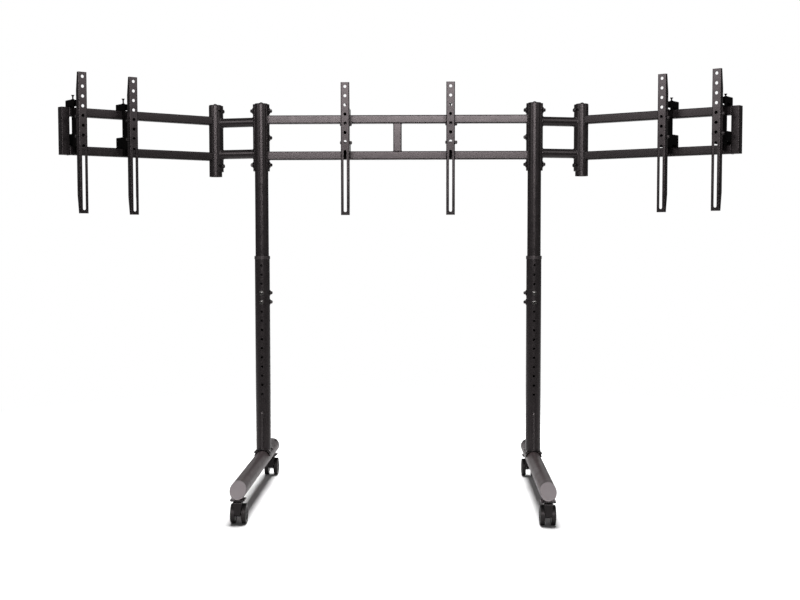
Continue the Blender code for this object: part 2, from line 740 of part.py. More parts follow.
def hook_bracket():
    """Two hooked side plates with a web, a top tab and its nut, about the tilt bolt."""
    half = BRACKET_WIDTH / 2
    inside = half - BRACKET_SHEET
    outline = bracket_outline()
    plates = [flat_piece(outline, low, high, "YZ") for low, high in ((-half, -inside), (inside, half))]
    face = rim_depth() - HOOK_PLAY_FRONT
    web_back, web_top = arm_point(face, WEB_TOP_DROP)
    web_front, web_low = arm_point(face - BRACKET_SHEET, WEB_BOTTOM_DROP)
    lap = BRACKET_SHEET / 2
    web = box((-inside - lap, web_front, web_low), (inside + lap, web_back, web_top))
    screw_y, tab_top = arm_point(ARM_TO_RAIL, HOOK_BEARING_DROP - HOOK_TOP_RISE)
    tab_low = tab_top - TAB_THICKNESS
    tab = box(
        (-inside - lap, screw_y - TAB_LENGTH / 2, tab_low),
        (inside + lap, screw_y + TAB_LENGTH / 2, tab_top),
    )
    nut = rod((0, screw_y, tab_low - LEVEL_NUT_HEIGHT), (0, screw_y, tab_low + lap), LEVEL_NUT_RADIUS, 6)
    body = joined(plates[0], plates[1], web, tab, nut)
    below_nut = tab_low - 2 * LEVEL_NUT_HEIGHT
    above_tab = tab_top + REACH
    screw_bore = LEVEL_SCREW_RADIUS + GAP
    cutters = [rod((0, screw_y, below_nut), (0, screw_y, above_tab), screw_bore, SMALL_SIDES)]
    neck = face - NECK_WIDTH - RELIEF_RADIUS
    for depth, drop, radius, sides in (
        (TILT_BOLT_DEPTH, TILT_BOLT_DROP, TILT_BOLT_RADIUS + GAP, HOLE_SIDES),
        (TILT_BOLT_DEPTH, LOCK_BOLT_DROP, TILT_BOLT_RADIUS + GAP, HOLE_SIDES),
        (neck, BODY_TOP_DROP, RELIEF_RADIUS, SMALL_SIDES),
        (neck, BODY_BOTTOM_DROP, RELIEF_RADIUS, SMALL_SIDES),
    ):
        y, z = arm_point(depth, drop)
        cutters.append(rod((-half - REACH, y, z), (half + REACH, y, z), radius, sides))
    return cut(body, *cutters)


def level_screw():
    """A flat-headed screw that stands on the rail's top, which is at z = 0."""
    top = LEVEL_SCREW_LENGTH + LEVEL_HEAD_HEIGHT
    profile = [
        (0, top),
        (LEVEL_HEAD_RADIUS, top),
        (LEVEL_HEAD_RADIUS, top - LEVEL_HEAD_HEIGHT / 3),
        (LEVEL_SCREW_RADIUS, LEVEL_SCREW_LENGTH),
        (LEVEL_SCREW_RADIUS, GAP),
        (0, GAP),
    ]
    return turned(profile, SMALL_SIDES)


def tilt_bolt():
    """A bolt across an arm, with its head on the left and its nut on the right."""
    seat = ARM_WIDTH / 2 + GAP
    in_head = -seat - TILT_HEAD_HEIGHT / 2
    in_nut = seat + TILT_NUT_LENGTH / 2
    shank = rod((in_head, 0, 0), (in_nut, 0, 0), TILT_BOLT_RADIUS, SMALL_SIDES)
    head = rod((-seat - TILT_HEAD_HEIGHT, 0, 0), (-seat, 0, 0), TILT_HEAD_RADIUS, 6)
    nut = rod((seat, 0, 0), (seat + TILT_NUT_LENGTH, 0, 0), TILT_HEAD_RADIUS, 6)
    return joined(shank, head, nut)


def height_bolt():
    """A bolt on a lower post's front that stops just short of the upper post. y = 0 is the post's axis."""
    seat = -TUBE_RADIUS - GAP
    head = rod((0, seat - HEIGHT_HEAD_HEIGHT, 0), (0, seat, 0), HEIGHT_HEAD_RADIUS, 6)
    in_head = seat - HEIGHT_HEAD_HEIGHT / 2
    tip = -UPPER_POST_RADIUS - GAP
    shank = rod((0, in_head, 0), (0, tip, 0), HEIGHT_SHANK_RADIUS, SMALL_SIDES)
    return joined(head, shank)


def finished(solid, name, finish):
    """A sub-part's mesh, smooth on its round faces, with its own material."""
    colour, roughness, metallic = finish
    material = bpy.data.materials.new(name)
    material.use_nodes = True
    shader = material.node_tree.nodes["Principled BSDF"]
    shader.inputs["Base Color"].default_value = (*colour, 1)
    shader.inputs["Roughness"].default_value = roughness
    shader.inputs["Metallic"].default_value = metallic
    mesh = solid.data
    mesh.name = name
    mesh.materials.clear()
    mesh.materials.append(material)
    mesh.shade_smooth()
    mesh.set_sharp_from_angle(angle=SMOOTH_ANGLE)
    bpy.data.objects.remove(solid)
    return mesh


def axis(name, parent, location, yaw=0.0):
    """An empty on a joint's axis."""
    obj = bpy.data.objects.new(name, None)
    PARTS.objects.link(obj)
    obj.parent = parent
    obj.location = location
    obj.rotation_euler = (0, 0, yaw)
    return obj


def placed(name, mesh, parent, location=(0, 0, 0), yaw=0.0):
    obj = bpy.data.objects.new(name, mesh)
    PARTS.objects.link(obj)
    obj.parent = parent
    obj.location = location
    obj.rotation_euler = (0, 0, yaw)
    return obj


def build_feet(root):
    front_cap = finished(foot_cap(FRONT_CUT_TILT), "foot_cap_front", CAP_PLASTIC)
    rear_cap = finished(foot_cap(0), "foot_cap_rear", CAP_PLASTIC)
    bolt = finished(height_bolt(), "height_bolt", BLACK_ZINC)
    for word, side in (("left", -1), ("right", 1)):
        x = side * POST_X
        foot = finished(foot_tube(-side), "foot_tube_" + word, STEEL_COAT)
        placed("foot_tube_" + word, foot, root, (x, 0, FOOT_Z))
        placed("foot_cap_front_" + word, front_cap, root, (x, FOOT_FRONT, FOOT_Z))
        placed("foot_cap_rear_" + word, rear_cap, root, (x, FOOT_REAR, FOOT_Z), math.pi)
        post = finished(lower_post(-side), "lower_post_" + word, STEEL_COAT)
        placed("lower_post_" + word, post, root, (x, 0, 0))
        for number, i in enumerate(BOLTED_HOLES, 1):
            placed("height_bolt_%s_%d" % (word, number), bolt, root, (x, 0, hole_heights()[i]))


def build_casters(root):
    plate = finished(caster_plate(), "caster_plate", BLACK_ZINC)
    hood = finished(caster_hood(), "caster_hood", BLACK_PLASTIC)
    wheels = finished(caster_wheels(), "caster_wheels", WHEEL_RUBBER)
    for end, y in (("front", CASTER_FRONT_Y), ("rear", CASTER_REAR_Y)):
        for word, side in (("left", -1), ("right", 1)):
            name = "%s_%s" % (end, word)
            place = (side * POST_X, y, plate_top_z())
            placed("caster_plate_" + name, plate, root, place)
            swivel = axis("swivel_" + name, root, (side * POST_X, y, 0))
            placed("caster_hood_" + name, hood, swivel)
            placed("caster_wheels_" + name, wheels, swivel, (0, CASTER_TRAIL, WHEEL_RADIUS))


def build_head(head):
    """Everything that rises with the upper posts. The head's axis is at its rails' middle height."""
    top = SHELL_HEIGHT / 2
    bottom = LOWER_POST_TOP - POST_OVERLAP - HEAD_Z
    bore = UPPER_POST_RADIUS - UPPER_POST_WALL
    post = finished(tube(UPPER_POST_RADIUS, bore, bottom, top), "upper_post", STEEL_COAT)
    cap = finished(round_cap(UPPER_POST_RADIUS, bore), "post_cap", BLACK_PLASTIC)
    placed("centre_frame", finished(centre_frame(), "centre_frame", RAIL_COAT), head)
    for word, side in (("left", -1), ("right", 1)):
        x = side * POST_X
        placed("upper_post_" + word, post, head, (x, 0, 0))
        placed("post_cap_" + word, cap, head, (x, 0, top))
        link = finished(link_bracket(side), "link_bracket_" + word, STEEL_COAT)
        placed("link_bracket_" + word, link, head, (x, 0, 0))


def build_wings(head):
    """Both wings. Each wing's axis looks along the rails' front, and the left wing runs to -X."""
    cap = finished(round_cap(PIVOT_RADIUS, PIVOT_RADIUS - PIVOT_WALL), "pivot_cap", BLACK_PLASTIC)
    wings = {}
    for word, side, yaw in (("left", -1, WING_YAW_LEFT), ("right", 1, -WING_YAW_RIGHT)):
        pivot = (side * (POST_X + LINK_REACH), LINK_SET_BACK, 0)
        wings[side] = axis("wing_axis_" + word, head, pivot, yaw)
        frame = finished(wing_frame(side), "wing_frame_" + word, RAIL_COAT)
        placed("wing_frame_" + word, frame, wings[side], yaw=0 if side > 0 else math.pi)
        placed("pivot_cap_" + word, cap, wings[side], (0, 0, SHELL_HEIGHT / 2))
    return wings


def build_arms(rails):
    """Six screen arms, each on a hook bracket that hangs over both rails and stands on its level screw."""
    arm = finished(screen_arm(), "screen_arm", RAIL_COAT)
    bracket = finished(hook_bracket(), "hook_bracket", BRACKET_COAT)
    screw = finished(level_screw(), "level_screw", BLACK_ZINC)
    bolt = finished(tilt_bolt(), "tilt_bolt", BLACK_ZINC)
    rail_top = RAIL_SPREAD + RAIL_SIZE / 2
    for name, side, along, lift in ARMS:
        carriage = axis("carriage_" + name, rails[side], (along * (side or 1), 0, rail_top))
        placed("level_screw_" + name, screw, carriage)
        down = TILT_BOLT_DROP - HOOK_BEARING_DROP
        tilt = (0, TILT_BOLT_DEPTH - ARM_TO_RAIL, GAP + lift - down)
        placed("hook_bracket_" + name, bracket, carriage, tilt)
        placed("tilt_bolt_" + name, bolt, carriage, tilt)
        placed("screen_arm_" + name, arm, carriage, tilt)


clear_scene()
PARTS = bpy.data.collections.new("triple_monitor_stand")
bpy.context.scene.collection.children.link(PARTS)
STAND = axis("stand", None, (0, 0, 0))
HEAD = axis("head_axis", STAND, (0, 0, HEAD_Z))
build_feet(STAND)
build_casters(STAND)
build_head(HEAD)
RAILS = build_wings(HEAD)
RAILS[0] = HEAD
build_arms(RAILS)
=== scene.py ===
import json
import math

import bmesh
import bpy
from mathutils import Matrix, Vector


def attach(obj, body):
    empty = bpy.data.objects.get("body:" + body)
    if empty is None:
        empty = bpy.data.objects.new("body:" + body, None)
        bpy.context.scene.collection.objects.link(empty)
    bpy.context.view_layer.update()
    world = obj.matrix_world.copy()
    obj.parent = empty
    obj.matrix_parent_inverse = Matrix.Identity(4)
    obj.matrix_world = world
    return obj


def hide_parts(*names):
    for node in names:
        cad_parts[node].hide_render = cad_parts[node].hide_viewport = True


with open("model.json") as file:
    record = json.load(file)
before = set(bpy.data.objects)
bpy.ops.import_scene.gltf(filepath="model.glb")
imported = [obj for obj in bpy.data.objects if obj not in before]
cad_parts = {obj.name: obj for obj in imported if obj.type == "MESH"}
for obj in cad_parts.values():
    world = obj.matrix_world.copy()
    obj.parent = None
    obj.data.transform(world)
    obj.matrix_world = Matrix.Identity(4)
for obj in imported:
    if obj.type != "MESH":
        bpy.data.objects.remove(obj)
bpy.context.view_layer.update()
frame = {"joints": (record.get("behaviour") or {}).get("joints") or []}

# Sizes of the frame that the pieces are built round, in metres
POST_X = 0.457
TUBE = 0.025
LOWER_WALL = 0.0022
LOWER_TOP = 0.783
UPPER = 0.0225
UPPER_WALL = 0.002
UPPER_LOW = 0.56
HOLE_STEP = 0.031
HOLES = [0.753 - HOLE_STEP * i for i in range(15)]
BOLTED = (HOLES[3], HOLES[4])
FOOT_Z = 0.102
FOOT_FRONT = -0.542
FOOT_REAR = 0.222
FOOT_WALL = 0.002
SLANT = math.radians(37)
SADDLE_SHEET = 0.004
SADDLE_HALF = math.radians(72)
SADDLE_BOLT_TILT = math.radians(45)
FOOT_BOLT_TILT = math.radians(36)
CASTERS = (("front", -0.54), ("rear", 0.185))
CASTER_TRAIL = 0.015
WHEEL = 0.03
HEAD_Z = 1.18
RAIL = 0.028
RAIL_BEND = 0.0038
SPREAD = 0.06
SHELL = 0.005
SHELL_TALL = 0.223
CLAMP_INNER = 0.0228
CLAMP_OUTER = CLAMP_INNER + SHELL
CLAMP_HALF = math.radians(43)
# Clamp bolts: part, side of the post, turn from one to the next, heights from HEAD_Z
CLAMP_BOLTS = (("inner", -1, 0.35, (0.0895, 0, -0.0905)), ("outer", 1, 0.3, (0.0895, -0.0905)))
LINK_BAR = 0.0155
LINK_SPREAD = 0.053
PIVOT = 0.0215
PIVOT_WALL = 0.0025
PIVOT_FOOT = 0.0165
PIVOT_INNER = 0.0218
PIVOT_OUTER = PIVOT_INNER + SHELL
PIVOT_HALF = math.radians(65)
LINK_X = 0.1627
LINK_Y = 0.045
LINK_ANGLE = math.atan2(LINK_Y, LINK_X)
PIVOT_BOLT_STRAIGHT = math.radians(-40)
PIVOT_BOLT_Z = 0.092
WING_TURN = math.radians(55)
WING_END = 0.552
# Each side's turn about Z as it stands, 0 for the centre frame
YAW = {-1: math.radians(40), 0: 0.0, 1: math.radians(-35)}
GAP = 0.0003
SIDES = (("left", -1), ("right", 1))
ARMS = (
    ("left_outer", -1), ("left_inner", -1), ("centre_left", 0),
    ("centre_right", 0), ("right_inner", 1), ("right_outer", 1),
)

PIECES = bpy.data.collections.new("triple_monitor_stand")
bpy.context.scene.collection.children.link(PIECES)


# Mesh helpers

def arc(centre, radius, first, last, steps):
    angles = [first + (last - first) * i / steps for i in range(steps + 1)]
    return [(centre[0] + radius * math.cos(a), centre[1] + radius * math.sin(a)) for a in angles]


def rounded(corners, steps=4):
    """An outline from (u, v, radius) corners, each with a radius turned into an arc."""
    points = []
    for i, (u, v, radius) in enumerate(corners):
        if not radius:
            points.append((u, v))
            continue
        here = Vector((u, v))
        before = (Vector(corners[i - 1][:2]) - here).normalized()
        after = (Vector(corners[(i + 1) % len(corners)][:2]) - here).normalized()
        half = before.angle(after) / 2
        middle = here + (before + after).normalized() * (radius / math.sin(half))
        start = here + before * (radius / math.tan(half)) - middle
        sweep = start.angle_signed(here + after * (radius / math.tan(half)) - middle)
        first = math.atan2(start.y, start.x)
        points += arc(middle, radius, first, first - sweep, steps)
    return points


def box_outline(half_u, half_v, radius, steps=6):
    return rounded([(-half_u, -half_v, radius), (half_u, -half_v, radius),
                    (half_u, half_v, radius), (-half_u, half_v, radius)], steps)


def ring(radius, sides, centre=(0, 0)):
    return arc(centre, radius, 0, math.tau * (1 - 1 / sides), sides - 1)


def hexagon(corner):
    return arc((0, 0), corner, 0, math.tau * 5 / 6, 5)


def linked(name, data):
    obj = bpy.data.objects.new(name, data)
    bpy.context.scene.collection.objects.link(obj)
    return obj


def evaluated(obj):
    """An object's mesh with its modifiers applied."""
    bpy.context.view_layer.update()
    graph = bpy.context.evaluated_depsgraph_get()
    return bpy.data.meshes.new_from_object(obj.evaluated_get(graph))


def opened(data):
    """A bmesh from a mesh, which is removed."""
    work = bmesh.new()
    work.from_mesh(data)
    bpy.data.meshes.remove(data)
    return work


def joined(*meshes):
    """One bmesh from several, which are used up."""
    base = meshes[0]
    for other in meshes[1:]:
        data = bpy.data.meshes.new("join")
        other.to_mesh(data)
        other.free()
        base.from_mesh(data)
        bpy.data.meshes.remove(data)
    return base


POLE = 0.0001
PLANES = {
    "XY": Matrix.Identity(4),
    "YZ": Matrix(((0, 0, 1, 0), (1, 0, 0, 0), (0, 1, 0, 0), (0, 0, 0, 1))),
    "XZ": Matrix(((1, 0, 0, 0), (0, 0, -1, 0), (0, 1, 0, 0), (0, 0, 0, 1))),
}


def prism(outline, low, high, plane="XY", holes=(), edge=0.0, rounds=2):
    """A flat outline with holes, made thick along the plane's third axis, its edges rounded."""
    curve = bpy.data.curves.new("outline", "CURVE")
    curve.dimensions = "2D"
    curve.fill_mode = "BOTH"
    curve.extrude = (high - low) / 2 - edge
    curve.bevel_depth = edge
    curve.bevel_resolution = rounds
    curve.offset = -edge
    for loop in (outline, *holes):
        spline = curve.splines.new("POLY")
        spline.points.add(len(loop) - 1)
        for point, (u, v) in zip(spline.points, loop):
            point.co = (u, v, 0, 1)
        spline.use_cyclic_u = True
    obj = linked("outline", curve)
    work = opened(evaluated(obj))
    bpy.data.objects.remove(obj)
    bpy.data.curves.remove(curve)
    bmesh.ops.remove_doubles(work, verts=work.verts, dist=0.00001)
    bmesh.ops.recalc_face_normals(work, faces=work.faces)
    middle = (high + low) / 2 * (-1 if plane == "XZ" else 1)
    return moved(work, PLANES[plane] @ Matrix.Translation((0, 0, middle)))


def moved(work, matrix):
    bmesh.ops.transform(work, matrix=matrix, verts=work.verts)
    return work


def shift(x=0.0, y=0.0, z=0.0, yaw=0.0):
    return Matrix.Translation((x, y, z)) @ Matrix.Rotation(yaw, 4, "Z")


def facing(origin, direction, spin=0.0):
    """A place whose Z looks along a direction."""
    turn = Vector(direction).to_track_quat("Z", "Y").to_matrix().to_4x4()
    return Matrix.Translation(origin) @ turn @ Matrix.Rotation(spin, 4, "Z")


def lathe(profile, sides, closed=False):
    """A profile of (radius, height) points turned about Z. A radius of 0 is a pole."""
    work = bmesh.new()
    rows = []
    for radius, height in profile:
        if radius < 1e-7:
            rows.append([work.verts.new((0, 0, height))] * sides)
        else:
            rows.append([work.verts.new((radius * math.cos(math.tau * i / sides),
                                         radius * math.sin(math.tau * i / sides), height))
                         for i in range(sides)])
    pairs = list(zip(rows, rows[1:] + rows[:1])) if closed else list(zip(rows, rows[1:]))
    for a, b in pairs:
        for i in range(sides):
            j = (i + 1) % sides
            corners = []
            for v in (a[i], a[j], b[j], b[i]):
                if v not in corners:
                    corners.append(v)
            if len(corners) > 2:
                work.faces.new(corners)
    bmesh.ops.recalc_face_normals(work, faces=work.faces)
    return work


def tube(radius, bore, low, high, lip, sides):
    corners = [(bore, high, lip), (radius, high, lip), (radius, low, lip), (bore, low, lip)]
    return lathe(rounded(corners, 3), sides, True)


def rod(start, end, radius, sides):
    start, end = Vector(start), Vector(end)
    work = bmesh.new()
    bmesh.ops.create_cone(work, cap_ends=True, segments=sides, radius1=radius, radius2=radius,
                          depth=(end - start).length)
    return moved(work, facing((start + end) / 2, end - start))


def drill(start, end, radius, flare, sides=20):
    """A cutter for a hole from one face of a wall, at start, whose mouth there has a small chamfer."""
    start, end = Vector(start), Vector(end)
    deep, over = -(start - end).length, 0.004
    profile = [(0, over), (radius + flare + over, over), (radius, -flare), (radius, deep), (0, deep)]
    return moved(lathe(profile, sides), facing(start, (start - end).normalized()))


def boolean(base, other, operation="DIFFERENCE"):
    """Two bmeshes made one by an exact Boolean. Both are used up."""
    objects = []
    for work in (base, other):
        data = bpy.data.meshes.new("boolean")
        work.to_mesh(data)
        work.free()
        objects.append(linked("boolean", data))
    modifier = objects[0].modifiers.new("boolean", "BOOLEAN")
    modifier.operation = operation
    modifier.solver = "EXACT"
    modifier.object = objects[1]
    made = opened(evaluated(objects[0]))
    for obj in objects:
        data = obj.data
        bpy.data.objects.remove(obj)
        bpy.data.meshes.remove(data)
    return made


def soften(work, width, segments, least):
    """Rounds every edge sharper than an angle in degrees."""
    edges = [e for e in work.edges if len(e.link_faces) == 2 and e.calc_face_angle() > math.radians(least)]
    bmesh.ops.bevel(work, geom=edges, offset=width, segments=segments, profile=0.5, affect="EDGES",
                    clamp_overlap=False)
    return work


def resampled(points, step, closed):
    """Points evenly spaced along a line."""
    points = [Vector(p) for p in points]
    if closed:
        points = points + points[:1]
    out, left = [points[0]], step
    for a, b in zip(points, points[1:]):
        length = (b - a).length
        at = left
        while at < length:
            out.append(a.lerp(b, at / length))
            at += step
        left = at - length
    if closed and (out[-1] - out[0]).length < step * 0.6:
        out.pop()
    return out


def bead(points, radius, closed=True):
    """A weld bead along a line: a round seam with the small steps that a weld pool leaves."""
    sides, step = 10, 0.00045
    line = resampled(points, step, closed)
    work = bmesh.new()
    rows = []
    count = len(line)
    up = Vector((0.31, 0.17, 0.93)).normalized()
    for i, here in enumerate(line):
        after = line[(i + 1) % count] if closed else line[min(i + 1, count - 1)]
        before = line[i - 1] if closed else line[max(i - 1, 0)]
        along = (after - before).normalized()
        side = (up - along * up.dot(along)).normalized()
        up = side
        across = along.cross(side)
        pool = 0.1 * abs(math.sin(i * 0.95))
        size = radius * (1 + pool + 0.05 * math.sin(i * 0.113 + 1.3) + 0.04 * math.sin(i * 0.041))
        if not closed:
            size *= min(1, 0.25 + 0.2 * min(i, count - 1 - i))
        rows.append([work.verts.new(here + (side * math.cos(a) + across * math.sin(a)) * size)
                     for a in (math.tau * k / sides for k in range(sides))])
    pairs = list(zip(rows, rows[1:]))
    if closed:
        turn = min(range(sides), key=lambda k: (rows[-1][0].co - rows[0][k].co).length)
        pairs.append((rows[-1], rows[0][turn:] + rows[0][:turn]))
    for a, b in pairs:
        for k in range(sides):
            work.faces.new((a[k], a[(k + 1) % sides], b[(k + 1) % sides], b[k]))
    if not closed:
        work.faces.new(rows[0][::-1])
        work.faces.new(rows[-1])
    bmesh.ops.recalc_face_normals(work, faces=work.faces)
    return work


def mesh_of(name, work, material, smooth=40):
    """A mesh that pieces share, smooth apart from its sharp edges, its normals weighted by area."""
    rough = bpy.data.meshes.new(name)
    work.to_mesh(rough)
    work.free()
    rough.shade_smooth()
    rough.set_sharp_from_angle(angle=math.radians(smooth))
    obj = linked(name, rough)
    modifier = obj.modifiers.new("normals", "WEIGHTED_NORMAL")
    modifier.keep_sharp = True
    data = evaluated(obj)
    bpy.data.objects.remove(obj)
    bpy.data.meshes.remove(rough)
    data.name = name
    data.materials.append(material)
    return data


def put(name, data, place, body, slot, *nodes):
    """A mesh shown as an object that rides on a body, in place of the CAD nodes that are given."""
    obj = bpy.data.objects.new(name, data)
    PIECES.objects.link(obj)
    obj.matrix_world = place
    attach(obj, body)
    if nodes:
        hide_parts(*nodes)


# Materials

FLAT = 0.985
MOTTLE = 0.07
GLOSS_SPREAD = 0.05


class Tree:
    """A short way to write the shader nodes of a material or a world."""

    def __init__(self, owner):
        owner.use_nodes = True
        self.tree = owner.node_tree
        self.where = self.add("ShaderNodeTexCoord").outputs

    def add(self, kind, **values):
        return self.set(self.tree.nodes.new(kind), **values)

    def set(self, node, **values):
        """Sets a node's own values, or else its inputs, named with _ for a space."""
        for key, value in values.items():
            if hasattr(node, key):
                setattr(node, key, value)
            else:
                node.inputs[key.replace("_", " ")].default_value = value
        return node

    def link(self, source, socket):
        """Links an output to a socket, or sets a number or a colour on it."""
        if isinstance(source, bpy.types.NodeSocket):
            self.tree.links.new(source, socket)
        else:
            socket.default_value = (*source, 1) if isinstance(source, tuple) else source

    def noise(self, scale, detail, roughness=0.5):
        node = self.add("ShaderNodeTexNoise", Scale=scale, Detail=detail, Roughness=roughness)
        self.link(self.where["Object"], node.inputs["Vector"])
        return node.outputs["Fac"]

    def split(self, vector):
        node = self.add("ShaderNodeSeparateXYZ")
        self.link(vector, node.inputs["Vector"])
        return node.outputs

    def ranged(self, value, low, high, to_low=0, to_high=1):
        node = self.add("ShaderNodeMapRange", From_Min=low, From_Max=high, To_Min=to_low, To_Max=to_high)
        self.link(value, node.inputs["Value"])
        return node.outputs["Result"]

    def math(self, operation, a, b=0.0):
        node = self.add("ShaderNodeMath", operation=operation)
        for source, socket in zip((a, b), node.inputs):
            self.link(source, socket)
        return node.outputs["Value"]

    def mix(self, factor, a, b):
        node = self.add("ShaderNodeMix", data_type="RGBA")
        for source, socket in ((factor, node.inputs["Factor"]), (a, node.inputs[6]), (b, node.inputs[7])):
            self.link(source, socket)
        return node.outputs[2]

    def blend(self, factor, a, b):
        """One shader over another."""
        node = self.add("ShaderNodeMixShader")
        for source, socket in zip((factor, a, b), node.inputs):
            self.link(source, socket)
        return node.outputs["Shader"]

    def bump(self, height, distance, normal=None):
        node = self.add("ShaderNodeBump", Strength=1.0, Distance=distance)
        self.link(height, node.inputs["Height"])
        if normal:
            self.link(normal, node.inputs["Normal"])
        return node.outputs["Normal"]

    def edges(self, radius):
        """1 on rounded and sharp edges, 0 on flat stretches."""
        bevel = self.add("ShaderNodeBevel", samples=3, Radius=radius)
        geometry = self.add("ShaderNodeNewGeometry")
        dot = self.add("ShaderNodeVectorMath", operation="DOT_PRODUCT")
        self.link(bevel.outputs["Normal"], dot.inputs[0])
        self.link(geometry.outputs["Normal"], dot.inputs[1])
        return self.ranged(dot.outputs["Value"], FLAT, 0.9)


def corner_shade(t):
    """1 on a box section's rounded corners, 0 on its flats: where it is 1, colour and gloss are darkened,
    painted shade along the corners.
    """
    x, y, z = (t.math("ABSOLUTE", axis) for axis in t.split(t.where["Normal"]))
    return t.ranged(t.math("MAXIMUM", t.math("MAXIMUM", x, y), z), FLAT, 0.86)


def sleeve_shade(t):
    """Painted shade: 1 on the stretch of the upper post that slides in the lower one, where the lower post
    shades it, 0 above it.
    """
    return t.ranged(t.split(t.where["Object"])["Z"], LOWER_TOP, LOWER_TOP - 0.01)


def tinted(colour, gain):
    return tuple(c * gain for c in colour)


def surface(name, colour, roughness, specular=0.5, metallic=0.0, grain=900, depth=0.000008, wear=0.25,
            worn=None, tint=(1.0, 0.875, 0.9), painted_shade=None, left=0.35):
    """Paint, plastic or plated metal with grain, uneven tone, uneven gloss and rubbed edges.

    Where the painted-shade mask says, colour and gloss fall to the share that is left: painted shade."""
    material = bpy.data.materials.new(name)
    t = Tree(material)
    shader = t.tree.nodes["Principled BSDF"]
    t.set(shader, Specular_IOR_Level=specular, Metallic=metallic, Specular_Tint=(*tint, 1))
    tone = t.ranged(t.noise(7, 5, 0.6), 0.3, 0.7)
    base = t.mix(tone, tinted(colour, 1 - MOTTLE), tinted(colour, 1 + MOTTLE))
    fine = t.ranged(t.noise(grain * 0.45, 2), 0.3, 0.7)
    base = t.mix(t.math("MULTIPLY", fine, 0.5), base, tinted(colour, 1 + 1.4 * MOTTLE))
    patches = t.ranged(t.noise(140, 4, 0.7), 0.42, 0.62, 0.15, 1)
    rub = t.math("MULTIPLY", t.math("MULTIPLY", t.edges(0.0009), patches), wear)
    base = t.mix(rub, base, worn or tinted(colour, 3.2))
    # Painted shade: the mask darkens colour and gloss where it is 1.
    if painted_shade:
        shade_amount = painted_shade(t)
        base = t.mix(shade_amount, base, tinted(colour, left))
        t.link(t.ranged(shade_amount, 0, 1, specular, specular * left), shader.inputs["Specular IOR Level"])
    t.link(base, shader.inputs["Base Color"])
    gloss = t.ranged(t.noise(38, 4, 0.6), 0.3, 0.7, roughness - GLOSS_SPREAD, roughness + GLOSS_SPREAD)
    t.link(t.math("SUBTRACT", gloss, t.math("MULTIPLY", rub, 0.12)), shader.inputs["Roughness"])
    peel = t.bump(t.noise(grain, 2, 0.6), depth)
    t.link(t.bump(t.noise(grain * 0.12, 2), depth * 2.2, peel), shader.inputs["Normal"])
    return material


POST_COAT = surface("post_powder_coat", (0.0104, 0.0089, 0.0092), 0.28, specular=0.3)
# The post coat on the upper post, darkened with painted shade where it sits inside the lower post.
SLEEVE_SHADED_POST_COAT = surface("upper_post_coat_sleeve_shade", (0.0104, 0.0089, 0.0092), 0.28, specular=0.3, painted_shade=sleeve_shade,
                     left=0.16)
FOOT_COAT = surface("foot_powder_coat", (0.064, 0.05, 0.051), 0.43, specular=0.28)
# The rail, wing and arm coats below are darkened on their rounded corners: painted shade.
RAIL_COAT = surface("rail_powder_coat", (0.012, 0.0102, 0.0107), 0.27, specular=0.43, painted_shade=corner_shade)
# A darker copy of the rail coat for the turned wing rails: painted shade.
WING_RAIL_SHADED_COAT = surface("wing_rail_coat_shaded_copy", (0.0078, 0.0066, 0.0069), 0.27, specular=0.3, painted_shade=corner_shade)
ARM_COAT = surface("arm_powder_coat", (0.007, 0.0059, 0.0062), 0.25, specular=0.29, painted_shade=corner_shade)
# A copy of the arm coat for the turned wing arms: its darker colour is painted shade, its raised gloss a
# painted highlight.
WING_ARM_LIT_COAT = surface("wing_arm_coat_lit_copy", (0.006, 0.005, 0.0052), 0.24, specular=0.52,
                        painted_shade=corner_shade)
# A near-black copy of the post coat for the saddles: painted shade.
SADDLE_SHADED_COAT = surface("saddle_coat_shaded_copy", (0.0032, 0.0027, 0.0028), 0.3, specular=0.14)
# A lighter, glossier copy of the post coat for the ribs: painted highlight.
RIB_LIT_COAT = surface("rib_coat_lit_copy", (0.02, 0.0176, 0.018), 0.24, specular=0.6)
COLLAR = surface("collar_plastic", (0.02, 0.0175, 0.018), 0.3, grain=1600, depth=0.00001)
BRIGHT = surface("bolt_steel", (0.075, 0.071, 0.069), 0.2, metallic=0.9, grain=1300, depth=0.00002, wear=0.4,
                 tint=(1, 1, 1))
# A near-black copy of the coat with almost no gloss, for the hook brackets: painted shade.
HOOK_SHADED_COAT = surface("bracket_coat_shaded_copy", (0.0013, 0.0011, 0.0011), 0.36, specular=0.03)
WELD = surface("welded_seam", (0.012, 0.0105, 0.011), 0.25, specular=0.4, grain=700, depth=0.00004)
CAP = surface("foot_cap_plastic", (0.155, 0.137, 0.142), 0.48, specular=0.3, grain=1400, depth=0.00003,
              wear=0.1, tint=(1, 1, 1))
PLASTIC = surface("black_plastic", (0.0066, 0.0063, 0.0062), 0.3, specular=0.2, grain=1600, depth=0.00001,
                  wear=0.15, worn=(0.03, 0.03, 0.03))
TYRE = surface("wheel_tread", (0.0085, 0.0081, 0.0081), 0.44, specular=0.22, grain=700, depth=0.00005,
               wear=0.3, worn=(0.04, 0.038, 0.036))
HUB = surface("wheel_hub_plastic", (0.01, 0.0096, 0.0096), 0.3, specular=0.35, grain=1500, depth=0.00001,
              wear=0.15, worn=(0.05, 0.05, 0.05))
RIM = surface("wheel_inner_rim", (0.1, 0.097, 0.097), 0.4, specular=0.3, grain=1500, depth=0.00002,
              wear=0.1)
ZINC = surface("black_zinc", (0.016, 0.0145, 0.015), 0.27, specular=0.4, metallic=0.4, grain=1200,
               depth=0.00002, wear=0.5, worn=(0.12, 0.115, 0.11))
THREAD = surface("oiled_thread", (0.004, 0.0038, 0.0038), 0.34, specular=0.15, grain=1200, depth=0.00002,
                 wear=0.3, worn=(0.02, 0.019, 0.018))


# Bolts

